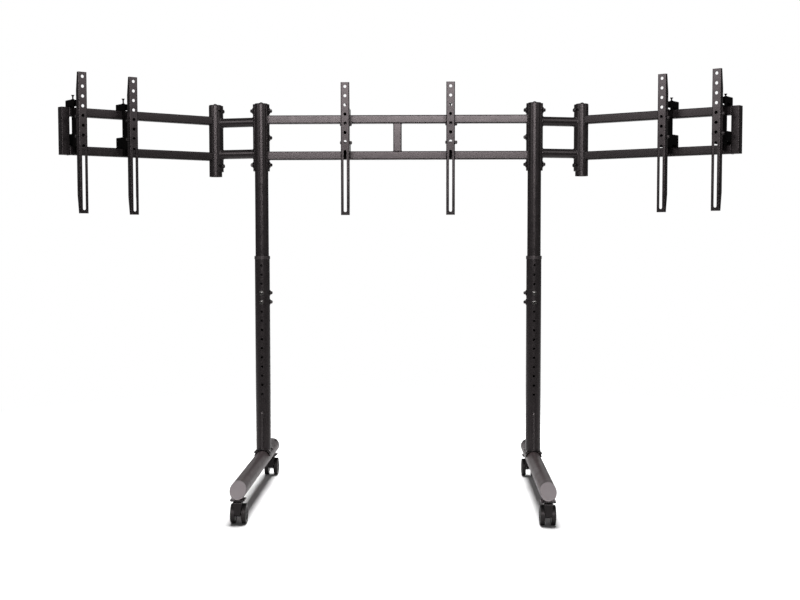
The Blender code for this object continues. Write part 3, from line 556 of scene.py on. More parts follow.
def hex_head(across, height):
    """A six-sided head standing on z = 0, its top corners turned off."""
    corner = across / math.sqrt(3)
    wide = corner + 0.0004
    cone = lathe([(0, height), (across * 0.46, height), (wide, height - (corner - across * 0.43) * 0.55),
                  (wide, 0.00015), (corner - 0.0003, -0.0002), (0, -0.0002)], 48)
    return soften(boolean(prism(hexagon(corner), 0, height), cone, "INTERSECT"), 0.00018, 1, 25)


def washer(radius, bore, height):
    return tube(radius, bore, 0, height, 0.0003, 40)


def hex_bolt(across, height, plate):
    """A washer on z = 0 with a hex head on it."""
    head = moved(hex_head(across, height), shift(z=plate - 0.0001))
    return joined(washer(across * 0.6, across * 0.26, plate), head)


def button_head(radius, height, socket):
    """A low domed head on z = 0 with a hex socket."""
    profile = [(0, height)] + [(radius * math.sin(a), height * math.cos(a) ** 0.8 + 0.0002)
                               for a in (math.radians(d) for d in (20, 35, 50, 62, 72, 80, 86))]
    profile += [(radius, 0.0006), (radius, 0.0002), (radius - 0.0002, 0), (0, 0)]
    hole = prism(hexagon(socket / math.sqrt(3)), height * 0.35, height + 0.002)
    return boolean(lathe(profile, 40), hole)


def flange_bolt(wide, across, height):
    """A bolt head on z = 0: a conical flange, a hex above it and a domed top."""
    step = height * 0.4
    skirt = lathe(rounded([(POLE, 0, 0), (wide, 0, 0.0004), (wide, 0.0014, 0.0004),
                           (across * 0.6, step, 0.0003), (POLE, step, 0)], 3), 48)
    head = moved(hex_head(across, height - step), shift(z=step - 0.0002))
    return joined(skirt, head, moved(domed(across * 0.42, 0.0018), shift(z=height - 0.0004)))


def domed(radius, height):
    angles = [math.radians(d) for d in (15, 30, 45, 60, 75, 90)]
    profile = [(0, height)] + [(radius * math.sin(a), height * math.cos(a)) for a in angles]
    return lathe(profile + [(radius, -0.0003), (0, -0.0003)], 36)


CLAMP_BOLT = mesh_of("clamp_bolt", flange_bolt(0.0102, 0.0105, 0.0078), ZINC)
HEIGHT_BOLT = mesh_of("height_bolt", joined(hex_bolt(0.013, 0.0034, 0.0011),
                                            moved(domed(0.0054, 0.001), shift(z=0.0043))), BRIGHT)
SADDLE_BOLT = mesh_of("saddle_bolt", hex_bolt(0.013, 0.005, 0.0014), ZINC)
PIVOT_BOLT = mesh_of("pivot_bolt", hex_bolt(0.0115, 0.0045, 0.0012), ZINC)
INNER_BOLT = mesh_of("inner_height_bolt", flange_bolt(0.0096, 0.0098, 0.008), ZINC)
SMALL_BUTTON = mesh_of("small_button", button_head(0.0055, 0.0032, 0.004), ZINC)


# Feet and posts

def foot_tube():
    bar = tube(TUBE, TUBE - FOOT_WALL, -FOOT_REAR, -(FOOT_FRONT - TUBE), 0.0004, 96)
    moved(bar, PLANES["XZ"])
    slant = prism(box_outline(0.06, 0.09, 0), 0, 0.1)
    moved(slant, Matrix.Translation((0, FOOT_FRONT, 0)) @ Matrix.Rotation(math.pi / 2 - SLANT, 4, "X"))
    return boolean(bar, slant)


def foot_cap(tilt):
    """A moulded end cap with a rounded rim and a shallow step, facing -Y."""
    r = TUBE - 0.0003
    tall = r / math.cos(tilt)
    face = GAP + 0.0025

    def oval(gain):
        return [(x * r * gain, y * tall * gain) for x, y in ring(1, 72)]
    cap = prism(oval(1), GAP, face, edge=0.0009, rounds=3)
    panel = prism(oval(0.8), GAP, face + 0.0004, edge=0.0004)
    stem = prism([(x * 0.9, y * 0.9) for x, y in oval(1)], -0.008, 0.001)
    return moved(joined(cap, panel, stem), Matrix.Rotation(math.pi / 2 - tilt, 4, "X"))


def post_tube(inward):
    post = tube(TUBE, TUBE - LOWER_WALL, FOOT_Z, LOWER_TOP, 0.0006, 96)
    cutters = [rod((0, -0.08, FOOT_Z), (0, 0.08, FOOT_Z), TUBE + 0.0023, 96)]
    for z in HOLES:
        for out in (Vector((0, -1, 0)), Vector((inward, 0, 0))):
            at = Vector((0, 0, z))
            cutters.append(drill(at + out * TUBE, at + out * (TUBE - 0.008), 0.004, 0.0004))
    return boolean(post, joined(*cutters))


def collar():
    """A thin ring over the lower post's rim."""
    inner, outer, wide = UPPER + 0.0006, TUBE + GAP, TUBE + 0.0013
    top, low = LOWER_TOP + 0.0014, LOWER_TOP - 0.0095
    return lathe(rounded([(inner, top, 0.0003), (wide, top, 0.0007), (wide, low, 0.0004), (outer, low, 0),
                          (outer, LOWER_TOP + GAP, 0), (inner, LOWER_TOP + GAP, 0)], 4), 96, True)


def saddle():
    inner = TUBE + GAP
    left, right = math.pi / 2 + SADDLE_HALF, math.pi / 2 - SADDLE_HALF
    edge = arc((0, FOOT_Z), inner + SADDLE_SHEET, right, left, 40) + arc((0, FOOT_Z), inner, left, right, 40)
    return prism(edge, -0.038, 0.038, "XZ", edge=0.0007)


def rib():
    face = -TUBE
    low = FOOT_Z + TUBE + GAP + 0.002
    outline = rounded([(face + 0.001, 0.261, 0), (face - 0.009, 0.261, 0.0085), (face - 0.01, 0.173, 0.02),
                       (face - 0.013, low + 0.004, 0), (face - 0.013, low, 0), (face + 0.001, low, 0)], 10)
    return prism(outline, -0.0025, 0.0025, "YZ", edge=0.0008)


def post_welds():
    top = TUBE + GAP + SADDLE_SHEET
    loop = [(TUBE * math.cos(a), TUBE * math.sin(a),
             FOOT_Z + math.sqrt(top ** 2 - (TUBE * math.cos(a)) ** 2) - 0.0003)
            for a in (math.tau * i / 90 for i in range(90))]
    seams = [bead(loop, 0.0021)]
    low = FOOT_Z + top
    for x in (-0.0025, 0.0025):
        seams.append(bead([(x, -TUBE + 0.0006, 0.256), (x, -TUBE + 0.0006, low + 0.002)], 0.0012, False))
        seams.append(bead([(x, -TUBE - 0.002, low - 0.0006), (x, -TUBE - 0.0128, low - 0.0012)], 0.0011,
                          False))
    return joined(*seams)


def round_cap(radius, bore):
    """A press-in top cap with a small peaked dome."""
    top = GAP + 0.0023
    dome = [(0.0068 * math.sin(a), top + 0.0048 * math.cos(a)) for a in map(math.radians, range(15, 90, 15))]
    rim = [(0.0074, top), (radius - 0.0022, top), (radius - 0.0014, top - 0.0002),
           (radius - 0.0009, top - 0.0007), (radius - 0.0007, top - 0.0013), (radius - 0.0007, GAP)]
    plug = [(bore - 0.0006, GAP), (bore - 0.0006, -0.008), (0, -0.008)]
    return lathe([(0, top + 0.0048)] + dome + rim + plug, 72)


def build_feet():
    foot = mesh_of("foot_tube", foot_tube(), FOOT_COAT)
    front = mesh_of("front_cap", foot_cap(SLANT), CAP)
    rear = mesh_of("rear_cap", foot_cap(0), CAP)
    shell = mesh_of("saddle", saddle(), SADDLE_SHADED_COAT)
    gusset = mesh_of("rib", rib(), RIB_LIT_COAT)
    rim = mesh_of("collar", collar(), COLLAR)
    seams = mesh_of("post_welds", post_welds(), WELD, 60)
    for word, side in SIDES:
        x = side * POST_X
        put("foot_" + word, foot, shift(x, 0, FOOT_Z), "base", "coat_base", "foot_tube_" + word)
        put("front_cap_" + word, front, shift(x, FOOT_FRONT, FOOT_Z), "base", "cap_plastic",
            "foot_cap_front_" + word)
        put("rear_cap_" + word, rear, shift(x, FOOT_REAR, FOOT_Z, math.pi), "base", "cap_plastic",
            "foot_cap_rear_" + word)
        post = mesh_of("post_" + word, post_tube(-side), POST_COAT)
        put("post_" + word, post, shift(x), "base", "coat_base", "lower_post_" + word)
        for part, data, slot in (("saddle", shell, "coat_base"), ("rib", gusset, "coat_base"),
                                 ("collar", rim, "black_plastic"), ("post_welds", seams, "coat_base")):
            put(part + "_" + word, data, shift(x), "base", slot)
        for number, z in enumerate(BOLTED, 1):
            put("front_height_bolt_%s_%d" % (word, number), HEIGHT_BOLT,
                facing((x, -TUBE, z), (0, -1, 0), 0.3 * number), "base", "black_zinc",
                "height_bolt_%s_%d" % (word, number))
            put("inner_height_bolt_%s_%d" % (word, number), INNER_BOLT,
                facing((x - side * TUBE, 0, z), (-side, 0, 0), 0.2 * number), "base", "black_zinc")
        for hand in (-1, 1):
            out = Vector((hand * math.sin(SADDLE_BOLT_TILT), 0, math.cos(SADDLE_BOLT_TILT)))
            where = "in" if hand * side < 0 else "out"
            for end, y in (("front", -0.0305), ("rear", 0.0305)):
                at = Vector((x, y, FOOT_Z)) + out * (TUBE + GAP + SADDLE_SHEET)
                put("saddle_bolt_%s_%s_%s" % (word, where, end), SADDLE_BOLT, facing(at, out, 0.4), "base",
                    "black_zinc")
        out = Vector((-side * math.sin(FOOT_BOLT_TILT), 0, math.cos(FOOT_BOLT_TILT)))
        at = Vector((x, FOOT_REAR - 0.017, FOOT_Z)) + out * TUBE
        put("foot_bolt_" + word, SMALL_BUTTON, facing(at, out), "base", "black_zinc")


# Casters

def wheel_pair():
    """Two wheels along X on one axle: (tread, hub, inner rim) meshes."""
    inner, outer = 0.00925, 0.02355
    groove = (inner + outer) / 2
    along = Matrix.Rotation(math.pi / 2, 4, "Y")
    tread = rounded([(0.0235, outer, 0.0006), (WHEEL, outer - 0.0006, 0.0022),
                     (WHEEL, inner + 0.0004, 0.0018), (0.0235, inner, 0.0006)], 5)
    hub = [(0, outer - 0.0022), (0.0055, outer - 0.0022), (0.0062, outer - 0.0028), (0.0062, outer - 0.0046),
           (0.0085, outer - 0.0052), (0.0175, outer - 0.0036), (0.0205, outer - 0.0012),
           (0.0222, outer - 0.0006), (0.0236, outer - 0.0008), (0.0236, groove), (0, groove)]
    rim = [(0, groove), (0.0236, groove), (0.0236, inner + 0.0006), (0.0215, inner + 0.0002),
           (0.02, inner + 0.0012), (0, inner + 0.0012)]
    made = []
    for profile, closed in ((tread, True), (hub, False), (rim, False)):
        pair = [lathe([(r, hand * height) for r, height in profile], 72, closed) for hand in (1, -1)]
        made.append(moved(joined(*pair), along))
    spokes = []
    for hand in (1, -1):
        for i in range(6):
            spoke = prism(box_outline(0.0014, 0.0058, 0.0004, 2), outer - 0.0054, outer - 0.0026, edge=0.0003)
            moved(spoke, Matrix.Rotation(math.tau * i / 6, 4, "Z") @ Matrix.Translation((0, 0.0138, 0)))
            spokes.append(moved(spoke, Matrix.Rotation(hand * math.pi / 2, 4, "Y")))
    axle = lathe(rounded([(POLE, outer, 0), (0.004, outer, 0.0005), (0.004, -outer, 0.0005),
                          (POLE, -outer, 0)], 3), 32)
    made[1] = joined(made[1], *spokes, moved(axle, along))
    return made


def caster_hood():
    top, mouth = 0.0709, 0.031
    side = rounded([(-0.02, top, 0.005), (-0.02, mouth, 0), (0.007, 0.022, 0.003), (0.023, 0.022, 0.003),
                    (0.024, 0.034, 0.003), (0.024, top, 0.01)], 5)
    front = [(-0.0135, top), (-0.0082, mouth), (-0.0082, 0), (0.0082, 0), (0.0082, mouth), (0.0135, top)]
    body = boolean(prism(side, -0.0135, 0.0135, "YZ"), prism(front, -0.03, 0.03, "XZ"), "INTERSECT")
    rooms = [rod((hand * 0.00875, CASTER_TRAIL, WHEEL), (hand * 0.03, CASTER_TRAIL, WHEEL), 0.0315, 72)
             for hand in (-1, 1)]
    return soften(boolean(body, joined(*rooms)), 0.0009, 3, 35)


def build_casters():
    tread, hub, rim = (mesh_of(name, work, material) for name, work, material
                       in zip(("tread", "hub", "rim"), wheel_pair(), (TYRE, HUB, RIM)))
    hood = mesh_of("hood", caster_hood(), PLASTIC)
    bores = [(x, y) for x in (-0.0165, 0.0165) for y in (-0.0165, 0.0165)]
    flat = prism(box_outline(0.022, 0.022, 0.004), -0.003, 0, edge=0.0004,
                 holes=[ring(0.0022, 20, bore) for bore in bores])
    race = lathe(rounded([(POLE, -0.0028, 0), (0.014, -0.0028, 0.0003), (0.0132, -0.0055, 0.0006),
                          (POLE, -0.0055, 0)], 3), 48)
    pin = rod((0, 0, -0.0135), (0, 0, -0.004), 0.0044, 24)
    screws = [moved(button_head(0.0036, 0.0018, 0.0022), facing((x, y, -0.003), (0, 0, -1)))
              for x, y in bores]
    plate = mesh_of("caster_plate", joined(flat, race, pin, *screws), ZINC)
    for end, y in CASTERS:
        for word, side in SIDES:
            key = end + "_" + word
            x = side * POST_X
            put("plate_" + key, plate, shift(x, y, FOOT_Z - TUBE - GAP), "base", "black_zinc",
                "caster_plate_" + key)
            put("hood_" + key, hood, shift(x, y), "swivel_" + key, "black_plastic", "caster_hood_" + key)
            place = shift(x, y + CASTER_TRAIL, WHEEL)
            put("tread_" + key, tread, place, "wheels_" + key, "wheel_rubber", "caster_wheels_" + key)
            put("hub_" + key, hub, place, "wheels_" + key, "black_plastic")
            put("rim_" + key, rim, place, "wheels_" + key, "black_plastic")


# Head: posts, centre frame and links

SECTION = box_outline(RAIL / 2, RAIL / 2, RAIL_BEND)
SEAM_IN = 0.0002


def rolled_plate(inner, half_angle, slots=()):
    """A clamp plate that faces +X: a flat plate with rounded corners and slots, rolled round Z."""
    outer = inner + SHELL
    reach = outer * half_angle
    plate = prism(box_outline(reach, SHELL_TALL / 2, 0.009, 10), inner, outer, "YZ", slots, edge=0.0008,
                  rounds=3)
    strips = 44
    for i in range(1, strips):
        at = reach * (2 * i / strips - 1)
        bmesh.ops.bisect_plane(plate, geom=plate.verts[:] + plate.edges[:] + plate.faces[:],
                               plane_co=(0, at, 0), plane_no=(0, 1, 0), dist=0.00002)
    for vert in plate.verts:
        radius, along, height = vert.co
        vert.co = (radius * math.cos(along / outer), radius * math.sin(along / outer), height)
    return plate


def rolled_slot(first, last, z):
    """The flat outline of a pivot plate's slot, with round ends, from one angle to another."""
    r = 0.0036
    return (arc((last * PIVOT_OUTER, z), r, -math.pi / 2, math.pi / 2, 10)
            + arc((first * PIVOT_OUTER, z), r, math.pi / 2, 3 * math.pi / 2, 10))


def seam_round(outer, z):
    """The line where a link bar along +X leaves a cylinder about Z."""
    return [(math.sqrt(outer ** 2 - (LINK_BAR * math.cos(a)) ** 2), LINK_BAR * math.cos(a),
             z + LINK_BAR * math.sin(a)) for a in (math.tau * i / 72 for i in range(72))]


def seam_square(outer, z):
    """The line where a rail along +X leaves a cylinder about Z."""
    return [(math.sqrt(max(outer ** 2 - y ** 2, 0)), y, z + v) for y, v in SECTION]


def rail_bar(start, end, plane="YZ"):
    return prism(SECTION, start, end, plane, edge=0.0003)


def build_posts():
    top, bore = HEAD_Z + SHELL_TALL / 2, UPPER - UPPER_WALL
    post = mesh_of("upper_post", tube(UPPER, bore, UPPER_LOW, top, 0.0006, 96), SLEEVE_SHADED_POST_COAT)
    cap = mesh_of("post_cap", round_cap(UPPER, bore), PLASTIC)
    for word, side in SIDES:
        x = side * POST_X
        put("inner_post_" + word, post, shift(x), "head", "coat_base", "upper_post_" + word)
        put("inner_post_cap_" + word, cap, shift(x, 0, top), "head", "black_plastic", "post_cap_" + word)


def build_centre():
    shell = mesh_of("inner_clamp", rolled_plate(CLAMP_INNER, CLAMP_HALF), POST_COAT)
    for word, side in SIDES:
        place = shift(side * POST_X, 0, HEAD_Z, math.pi if side > 0 else 0)
        put("inner_clamp_" + word, shell, place, "head", "coat_base")
        for part, way, spin, heights in CLAMP_BOLTS:
            for number, z in enumerate(heights, 1):
                at = (side * (POST_X + way * CLAMP_OUTER), 0, HEAD_Z + z)
                put("%s_clamp_bolt_%s_%d" % (part, word, number), CLAMP_BOLT,
                    facing(at, (way * side, 0, 0), spin * number), "head", "black_zinc")
    reach = POST_X - CLAMP_OUTER + 0.002
    bars = [moved(rail_bar(-reach, reach), shift(z=z)) for z in (-SPREAD, SPREAD)]
    stem = rail_bar(-SPREAD + RAIL / 2 - 0.001, SPREAD - RAIL / 2 + 0.001, "XY")
    rails = mesh_of("centre_rails", joined(*bars, stem), RAIL_COAT)
    put("centre_rails", rails, shift(z=HEAD_Z), "head", "coat_rail", "centre_frame")
    seams = []
    for side in (-1, 1):
        for z in (-SPREAD, SPREAD):
            work = bead(seam_square(CLAMP_OUTER - SEAM_IN, z), 0.002)
            seams.append(moved(work, shift(side * POST_X, yaw=math.pi if side > 0 else 0)))
    for z in (-SPREAD + RAIL / 2, SPREAD - RAIL / 2):
        seams.append(bead([(x, y, z) for x, y in SECTION], 0.0013))
    welds = mesh_of("centre_welds", joined(*seams), WELD, 60)
    put("centre_welds", welds, shift(z=HEAD_Z), "head", "coat_rail")


def build_links():
    span = math.hypot(LINK_X, LINK_Y)
    shell = mesh_of("outer_clamp", rolled_plate(CLAMP_INNER, CLAMP_HALF), POST_COAT)
    spare = math.radians(2)
    levels = (-LINK_SPREAD, LINK_SPREAD)
    for word, side in SIDES:
        yaw = LINK_ANGLE if side > 0 else math.pi - LINK_ANGLE
        place = shift(side * POST_X, 0, HEAD_Z, yaw)
        clamp_place = shift(side * POST_X, 0, HEAD_Z, 0 if side > 0 else math.pi)
        put("outer_clamp_" + word, shell, clamp_place, "head", "coat_base")
        first, last = PIVOT_BOLT_STRAIGHT - spare, PIVOT_BOLT_STRAIGHT + WING_TURN + spare
        if side > 0:
            first, last = -last, -first
        slots = [rolled_slot(first, last, z) for z in (-PIVOT_BOLT_Z, PIVOT_BOLT_Z)]
        pivot_place = shift(side * (POST_X + LINK_X), LINK_Y, HEAD_Z, yaw + math.pi)
        plate = mesh_of("pivot_plate_" + word, rolled_plate(PIVOT_INNER, PIVOT_HALF, slots), POST_COAT)
        put("pivot_plate_" + word, plate, pivot_place, "head", "coat_base")
        start, end = CLAMP_OUTER - 0.006, span - PIVOT_OUTER + 0.006
        bars = [rod((start, 0, z), (end, 0, z), LINK_BAR, 64) for z in levels]
        bars = mesh_of("link_bars_" + word, joined(*bars), POST_COAT)
        put("link_bars_" + word, bars, place, "head", "coat_base", "link_bracket_" + word)
        seams = [bead(seam_round(CLAMP_OUTER - SEAM_IN, z), 0.0024) for z in levels]
        for z in levels:
            seams.append(moved(bead(seam_round(PIVOT_OUTER - SEAM_IN, z), 0.0024), shift(span, yaw=math.pi)))
        welds = mesh_of("link_welds_" + word, joined(*seams), WELD, 60)
        put("link_welds_" + word, welds, place, "head", "coat_base")


# Wings

def build_wings():
    top = SHELL_TALL / 2
    bore = PIVOT - PIVOT_WALL
    post = mesh_of("pivot_tube", tube(PIVOT, bore, -top - PIVOT_FOOT, top, 0.0006, 96), POST_COAT)
    cap = mesh_of("pivot_cap", round_cap(PIVOT, bore), PLASTIC)
    tall = SPREAD + RAIL / 2
    bars = [moved(rail_bar(PIVOT - 0.003, WING_END - RAIL + 0.001), shift(z=z)) for z in (-SPREAD, SPREAD)]
    bars.append(moved(prism(SECTION, -tall, tall, edge=0.0008), shift(x=WING_END - RAIL / 2)))
    rails = mesh_of("wing_rails", joined(*bars), WING_RAIL_SHADED_COAT)
    seams = [bead(seam_square(PIVOT - SEAM_IN, z), 0.001) for z in (-SPREAD, SPREAD)]
    for z in (-SPREAD, SPREAD):
        seams.append(bead([(WING_END - RAIL, y, z + v) for y, v in SECTION], 0.0012))
    welds = mesh_of("wing_welds", joined(*seams), WELD, 60)
    for word, side in SIDES:
        body = "wing_" + word
        x = side * (POST_X + LINK_X)
        yaw = YAW[side]
        place = shift(x, LINK_Y, HEAD_Z, yaw if side > 0 else yaw + math.pi)
        put("wing_pivot_" + word, post, shift(x, LINK_Y, HEAD_Z, yaw), body, "coat_base")
        put("wing_rails_" + word, rails, place, body, "coat_rail", "wing_frame_" + word)
        put("wing_welds_" + word, welds, place, body, "coat_rail")
        put("wing_cap_" + word, cap, shift(x, LINK_Y, HEAD_Z + top, yaw), body, "black_plastic",
            "pivot_cap_" + word)
        back = math.pi + LINK_ANGLE if side > 0 else -LINK_ANGLE
        turn = back - side * (PIVOT_BOLT_STRAIGHT + abs(yaw))
        out = Vector((math.cos(turn), math.sin(turn), 0))
        for number, z in enumerate((-PIVOT_BOLT_Z, PIVOT_BOLT_Z), 1):
            at = Vector((x, LINK_Y, HEAD_Z + z)) + out * (PIVOT_OUTER - SEAM_IN)
            put("pivot_bolt_%s_%d" % (word, number), PIVOT_BOLT, facing(at, out, 0.4 * number), body,
                "black_zinc")


# Screen arms and hook brackets, in (back, up) from the tilt bolt

FIRST = 0.123
ARM_STEP = 0.03
DEEP = 0.0115
ARM_HALF = 0.01425
HOOK_HALF = 0.01175
HOOK_SHEET = 0.0025
LOCK_DROP = 0.06
SCREW_DEPTH = 0.075


def spot(depth, drop):
    return depth - DEEP, FIRST - drop


def screen_arm():
    front, top = spot(0, -0.014)
    low = top - 0.435
    half, sheet, bend, lip = ARM_HALF, 0.002, 0.003, 0.0005
    inside = half - sheet
    back = front + 0.0185
    section = rounded([
        (-half, front, bend), (half, front, bend), (half, back, lip), (inside, back, lip),
        (inside, front + sheet, bend - sheet), (-inside, front + sheet, bend - sheet),
        (-inside, back, lip), (-half, back, lip)], 6)
    body = prism(section, low, top, edge=0.0003, rounds=1)
    end = front + 0.009
    far = back + 0.004
    cutters = []
    for edge, way in ((top, -1), (low, 1)):
        start, slope = edge - way * 0.004, edge + way * 0.06
        cutters.append(prism(((end, start), (end, edge), (back, slope), (far, slope), (far, start)),
                             -0.03, 0.03, "YZ"))
    for i in range(7):
        z = spot(0, ARM_STEP * i)[1]
        cutters.append(drill((0, front, z), (0, front + 0.006, z), 0.005, 0.0003, 28))
    high = spot(0, 0.208)[1]
    r = 0.005
    slot = arc((0, high - r), r, 0, math.pi, 10) + arc((0, high - 0.203 + r), r, math.pi, math.tau, 10)
    cutters.append(prism(slot, front - 0.004, front + 0.004, "XZ"))
    cutters.append(rod((-0.02, 0, 0), (0.02, 0, 0), 0.0033, 24))
    cutters.append(lock_slot())
    return boolean(body, joined(*cutters))


def lock_slot():
    """A cutter for the curved slot in which the lock bolt moves as the arm tilts."""
    wide, swing = 0.0033, math.radians(4)
    low, high = -math.pi / 2 - swing, -math.pi / 2 + swing
    outline = []
    for first, last, way, turn in ((low, high, 1, 0), (high, low, -1, math.pi)):
        end = (LOCK_DROP * math.cos(last), LOCK_DROP * math.sin(last))
        outline += arc((0, 0), LOCK_DROP + way * wide, first, last, 4)
        outline += arc(end, wide, last + turn, last + turn + math.pi, 10)[1:-1]
    return prism(outline, -0.02, 0.02, "YZ")


def bracket_outline():
    face, neck, slot, back = 0.0602, 0.0435, 0.0915, 0.106
    corners = (
        (0.007, 0.095, 0.003), (neck, 0.095, 0), (neck, 0.066, 0.003), (back, 0.066, 0.003),
        (back, 0.102, 0.003), (slot, 0.102, 0.003), (slot, 0.085, 0), (face, 0.085, 0), (face, 0.1725, 0),
        (back, 0.1725, 0.003), (back, 0.222, 0.003), (slot, 0.222, 0.003), (slot, 0.205, 0), (face, 0.205, 0),
        (face, 0.234, 0.003), (neck, 0.234, 0.003), (neck, 0.2145, 0), (0.014, 0.2145, 0.003),
        (0.007, 0.19, 0.003))
    return rounded([(*spot(depth, drop), radius) for depth, drop, radius in corners], 5)


def side_plate(low, high):
    holes = [ring(0.0033, 24, spot(DEEP, FIRST)), ring(0.0033, 24, spot(DEEP, 0.183))]
    plate = prism(bracket_outline(), low, high, "YZ", holes, edge=0.0003, rounds=1)
    relief = [rod((-0.02, y, z), (0.02, y, z), 0.0045, 32)
              for y, z in (spot(0.039, 0.095), spot(0.039, 0.2145))]
    return boolean(plate, joined(*relief))


def hook_bracket():
    """The bracket and its level nut."""
    inside = HOOK_HALF - HOOK_SHEET
    reach = inside + 0.0007
    parts = [side_plate(-HOOK_HALF, -inside), side_plate(inside, HOOK_HALF)]
    for depth, first, last in ((0.0602, 0.097, 0.165), (0.0602, 0.192, 0.2335), (0.106, 0.068, 0.101),
                               (0.106, 0.175, 0.221)):
        y, top = spot(depth, first)
        low = spot(depth, last)[1]
        web = ((-reach, low), (reach, low), (reach, top), (-reach, top))
        parts.append(prism(web, y - HOOK_SHEET, y, "XZ", edge=0.0003))
    y, high = spot(SCREW_DEPTH, 0.066)
    under = high - 0.003
    tab = prism(box_outline(reach, 0.013, 0.0005), under, high, edge=0.0004, holes=[ring(0.0029, 24)])
    parts.append(moved(tab, Matrix.Translation((0, y, 0))))
    for x in (-inside, inside):
        parts.append(bead([(x, y - 0.0125, high - 0.0032), (x, y + 0.0125, high - 0.0032)], 0.0011, False))
    nut = boolean(hex_head(0.0105, 0.0045), rod((0, 0, -0.002), (0, 0, 0.008), 0.0027, 28))
    flange = lathe([(0.0026, 0.0029), (0.0036, 0.0029), (0.0062, 0.0012), (0.0064, 0.0004), (0.0062, 0),
                    (0.0026, 0)], 36, True)
    nut = joined(moved(nut, facing((0, y, under), (0, 0, -1))), moved(flange, shift(0, y, high)))
    return joined(*parts), nut


def level_screw():
    """A threaded screw with a countersunk head and a hex socket, standing on the rail's top at z = 0."""
    shank, pitch = 0.0335, 0.0008
    profile = [(0, shank + 0.006), (0.0048, shank + 0.006), (0.0051, shank + 0.0057),
               (0.0051, shank + 0.0048), (0.0026, shank + 0.0014)]
    for i in range(int((shank - 0.0015) / pitch)):
        z = shank - i * pitch
        profile += [(0.00248, z), (0.00215, z - pitch * 0.5)]
    profile += [(0.0018, 0.0008), (0.0012, GAP), (0, GAP)]
    return boolean(lathe(profile, 28), prism(hexagon(0.0021), shank + 0.003, shank + 0.008))


def cross_bolt(nut_long):
    """A bolt along X: a low head at the left, a shank and a nut with its washer at the right."""
    seat = ARM_HALF + GAP
    head = moved(button_head(0.0054, 0.003, 0.0032), facing((-seat, 0, 0), (-1, 0, 0)))
    nut = joined(washer(0.0062, 0.003, 0.001), moved(hex_head(0.01, nut_long), shift(z=0.0009)))
    shank = rod((-seat, 0, 0), (seat + nut_long + 0.0018, 0, 0), 0.0029, 24)
    return joined(head, moved(nut, facing((seat, 0, 0), (1, 0, 0), 0.3)), soften(shank, 0.0003, 1, 60))


def build_arms():
    arm = mesh_of("screen_arm", screen_arm(), ARM_COAT)
    # The wing arms wear the copy of the arm coat with painted shade and painted highlight.
    wing_arm = arm.copy()
    wing_arm.materials[0] = WING_ARM_LIT_COAT
    work, nut = hook_bracket()
    bracket = mesh_of("hook_bracket", work, HOOK_SHADED_COAT)
    nut = mesh_of("level_nut", nut, ZINC)
    screw = mesh_of("level_screw", level_screw(), THREAD)
    tilt = mesh_of("tilt_bolt", cross_bolt(0.0055), ZINC)
    lock = mesh_of("lock_bolt", cross_bolt(0.006), ZINC)
    joints = {joint["name"]: joint for joint in frame["joints"]}
    for name, side in ARMS:
        x, y, z = joints["tilt_" + name]["pos_m"]
        place = shift(x, y, z, YAW[side])
        carrier = "bracket_" + name
        put("channel_" + name, wing_arm if side else arm, place, "arm_" + name, "coat_rail",
            "screen_arm_" + name)
        put("hooks_" + name, bracket, place, carrier, "coat_bracket", "hook_bracket_" + name)
        put("level_nut_" + name, nut, place, carrier, "black_zinc")
        cross = place @ Matrix.Rotation(math.pi if side < 0 else 0, 4, "Z")
        put("tilt_pin_" + name, tilt, cross, carrier, "black_zinc", "tilt_bolt_" + name)
        put("lock_pin_" + name, lock, cross @ shift(0, 0, -LOCK_DROP), carrier, "black_zinc")
        at = place @ Vector((0, SCREW_DEPTH - DEEP, 0))
        on_rail = shift(at.x, at.y, HEAD_Z + SPREAD + RAIL / 2, YAW[side])
        put("level_pin_" + name, screw, on_rail, "screw_" + name, "black_zinc", "level_screw_" + name)


# Studio

FLOOR_LIFT = 0.02


def lamp(name, place, aim, size, power, floor=False):
    """A rectangular lamp that lights either the stand alone or the floor alone."""
    data = bpy.data.lights.new(name, "AREA")
    data.shape = "RECTANGLE"
    data.size, data.size_y = size
    data.energy = power
    obj = linked(name, data)
    place = Vector(place)
    obj.matrix_world = facing(place, place - Vector(aim))
    lit = bpy.data.collections.new(name + "_lights")
    lit.objects.link(bpy.data.objects["floor"])
    lit.collection_objects[0].light_linking.link_state = "INCLUDE" if floor else "EXCLUDE"
    obj.light_linking.receiver_collection = lit
    return obj


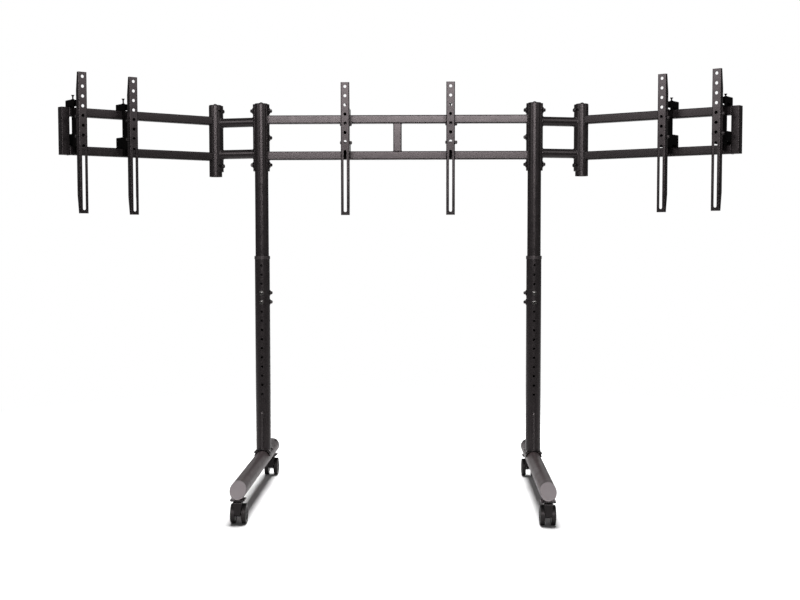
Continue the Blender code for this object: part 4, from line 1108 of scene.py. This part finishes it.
def build_floor():
    """A pale floor that keeps the stand's shadow and is white to the camera from afar.

    To glossy rays it is white behind the stand and dim in front of it."""
    bpy.ops.mesh.primitive_plane_add(size=60, location=(0, 0, 0))
    floor = bpy.context.object
    floor.name = "floor"
    material = bpy.data.materials.new("studio_floor")
    t = Tree(material)
    pale = t.set(t.tree.nodes["Principled BSDF"], Base_Color=(0.92, 0.92, 0.92, 1), Roughness=0.9,
                 Specular_IOR_Level=0.0)
    rays = t.add("ShaderNodeLightPath").outputs
    camera, glossy = rays["Is Camera Ray"], rays["Is Glossy Ray"]
    x, y = t.split(t.where["Object"])[:2]
    length = t.add("ShaderNodeVectorMath", operation="LENGTH")
    t.link(t.where["Object"], length.inputs[0])
    seen = t.math("MULTIPLY", camera, t.ranged(length.outputs["Value"], 1.0, 2.6))
    middle = t.ranged(t.math("ABSOLUTE", x), 1.6, 1.0)
    shine = t.math("MULTIPLY", glossy, t.math("MULTIPLY", t.ranged(y, 1.0, 2.6), middle))
    lift = t.add("ShaderNodeEmission")
    t.link(t.math("MULTIPLY", camera, FLOOR_LIFT), lift.inputs["Strength"])
    lit = t.add("ShaderNodeAddShader")
    t.link(pale.outputs["BSDF"], lit.inputs[0])
    t.link(lift.outputs["Emission"], lit.inputs[1])
    dim = t.add("ShaderNodeEmission", Strength=0.05).outputs["Emission"]
    dimmed = t.blend(t.math("MULTIPLY", glossy, t.ranged(y, -0.8, -1.5, 0.35, 1)), lit.outputs["Shader"], dim)
    white = t.add("ShaderNodeEmission").outputs["Emission"]
    mixed = t.blend(t.math("ADD", seen, shine), dimmed, white)
    t.link(mixed, t.tree.nodes["Material Output"].inputs["Surface"])
    floor.data.materials.append(material)


def build_world():
    """White where the camera looks, and in glossy rays behind the stand. What lights it is a dim room."""
    world = bpy.data.worlds.new("studio")
    bpy.context.scene.world = world
    t = Tree(world)
    room = t.set(t.tree.nodes["Background"], Color=(1, 1, 1, 1), Strength=0.08)
    white = t.add("ShaderNodeBackground", Color=(1, 1, 1, 1), Strength=1.0)
    rays = t.add("ShaderNodeLightPath").outputs
    behind = t.ranged(t.split(t.where["Generated"])["Y"], 0.93, 0.97)
    shine = t.math("MULTIPLY", rays["Is Glossy Ray"], behind)
    seen = t.math("MAXIMUM", rays["Is Camera Ray"], rays["Is Transmission Ray"])
    mixed = t.blend(t.math("MAXIMUM", seen, shine), room.outputs["Background"], white.outputs["Background"])
    t.link(mixed, t.tree.nodes["World Output"].inputs["Surface"])


def build_camera():
    yaw, pitch, roll = (math.radians(d) for d in (-1.56, -3.21, -0.06))
    look = Vector((math.sin(yaw) * math.cos(pitch), math.cos(yaw) * math.cos(pitch), math.sin(pitch)))
    right = Vector((math.cos(yaw), -math.sin(yaw), 0))
    up = right.cross(look)
    right, up = right * math.cos(roll) + up * math.sin(roll), up * math.cos(roll) - right * math.sin(roll)
    data = bpy.data.cameras.new("camera")
    data.lens = 54.0
    data.sensor_width = 36.0
    data.clip_end = 100
    obj = linked("camera", data)
    turn = Matrix((right, up, -look)).transposed().to_4x4()
    obj.matrix_world = Matrix.Translation((0.11768, -4.03666, 0.86216)) @ turn
    bpy.context.scene.camera = obj


build_feet()
build_casters()
build_posts()
build_centre()
build_links()
build_wings()
build_arms()
build_floor()
build_world()
build_camera()
lamp("front_softbox", (0.0, -4.9, 2.4), (0, 0, 1.1), (3.2, 1.5), 215)
lamp("left_softbox", (-3.1, -2.6, 2.7), (0, 0, 1.0), (2.0, 2.0), 66)
lamp("right_softbox", (3.2, -1.9, 2.95), (0, 0, 1.0), (2.4, 2.4), 60).visible_diffuse = False
lamp("top_softbox", (0.0, -0.6, 4.0), (0, 0, 1.0), (1.6, 1.6), 40)
lamp("floor_softbox", (0.0, 0.8, 6.0), (0, 0.8, 0), (2.0, 3.6), 690, floor=True)
bpy.context.scene.view_settings.view_transform = "Standard"
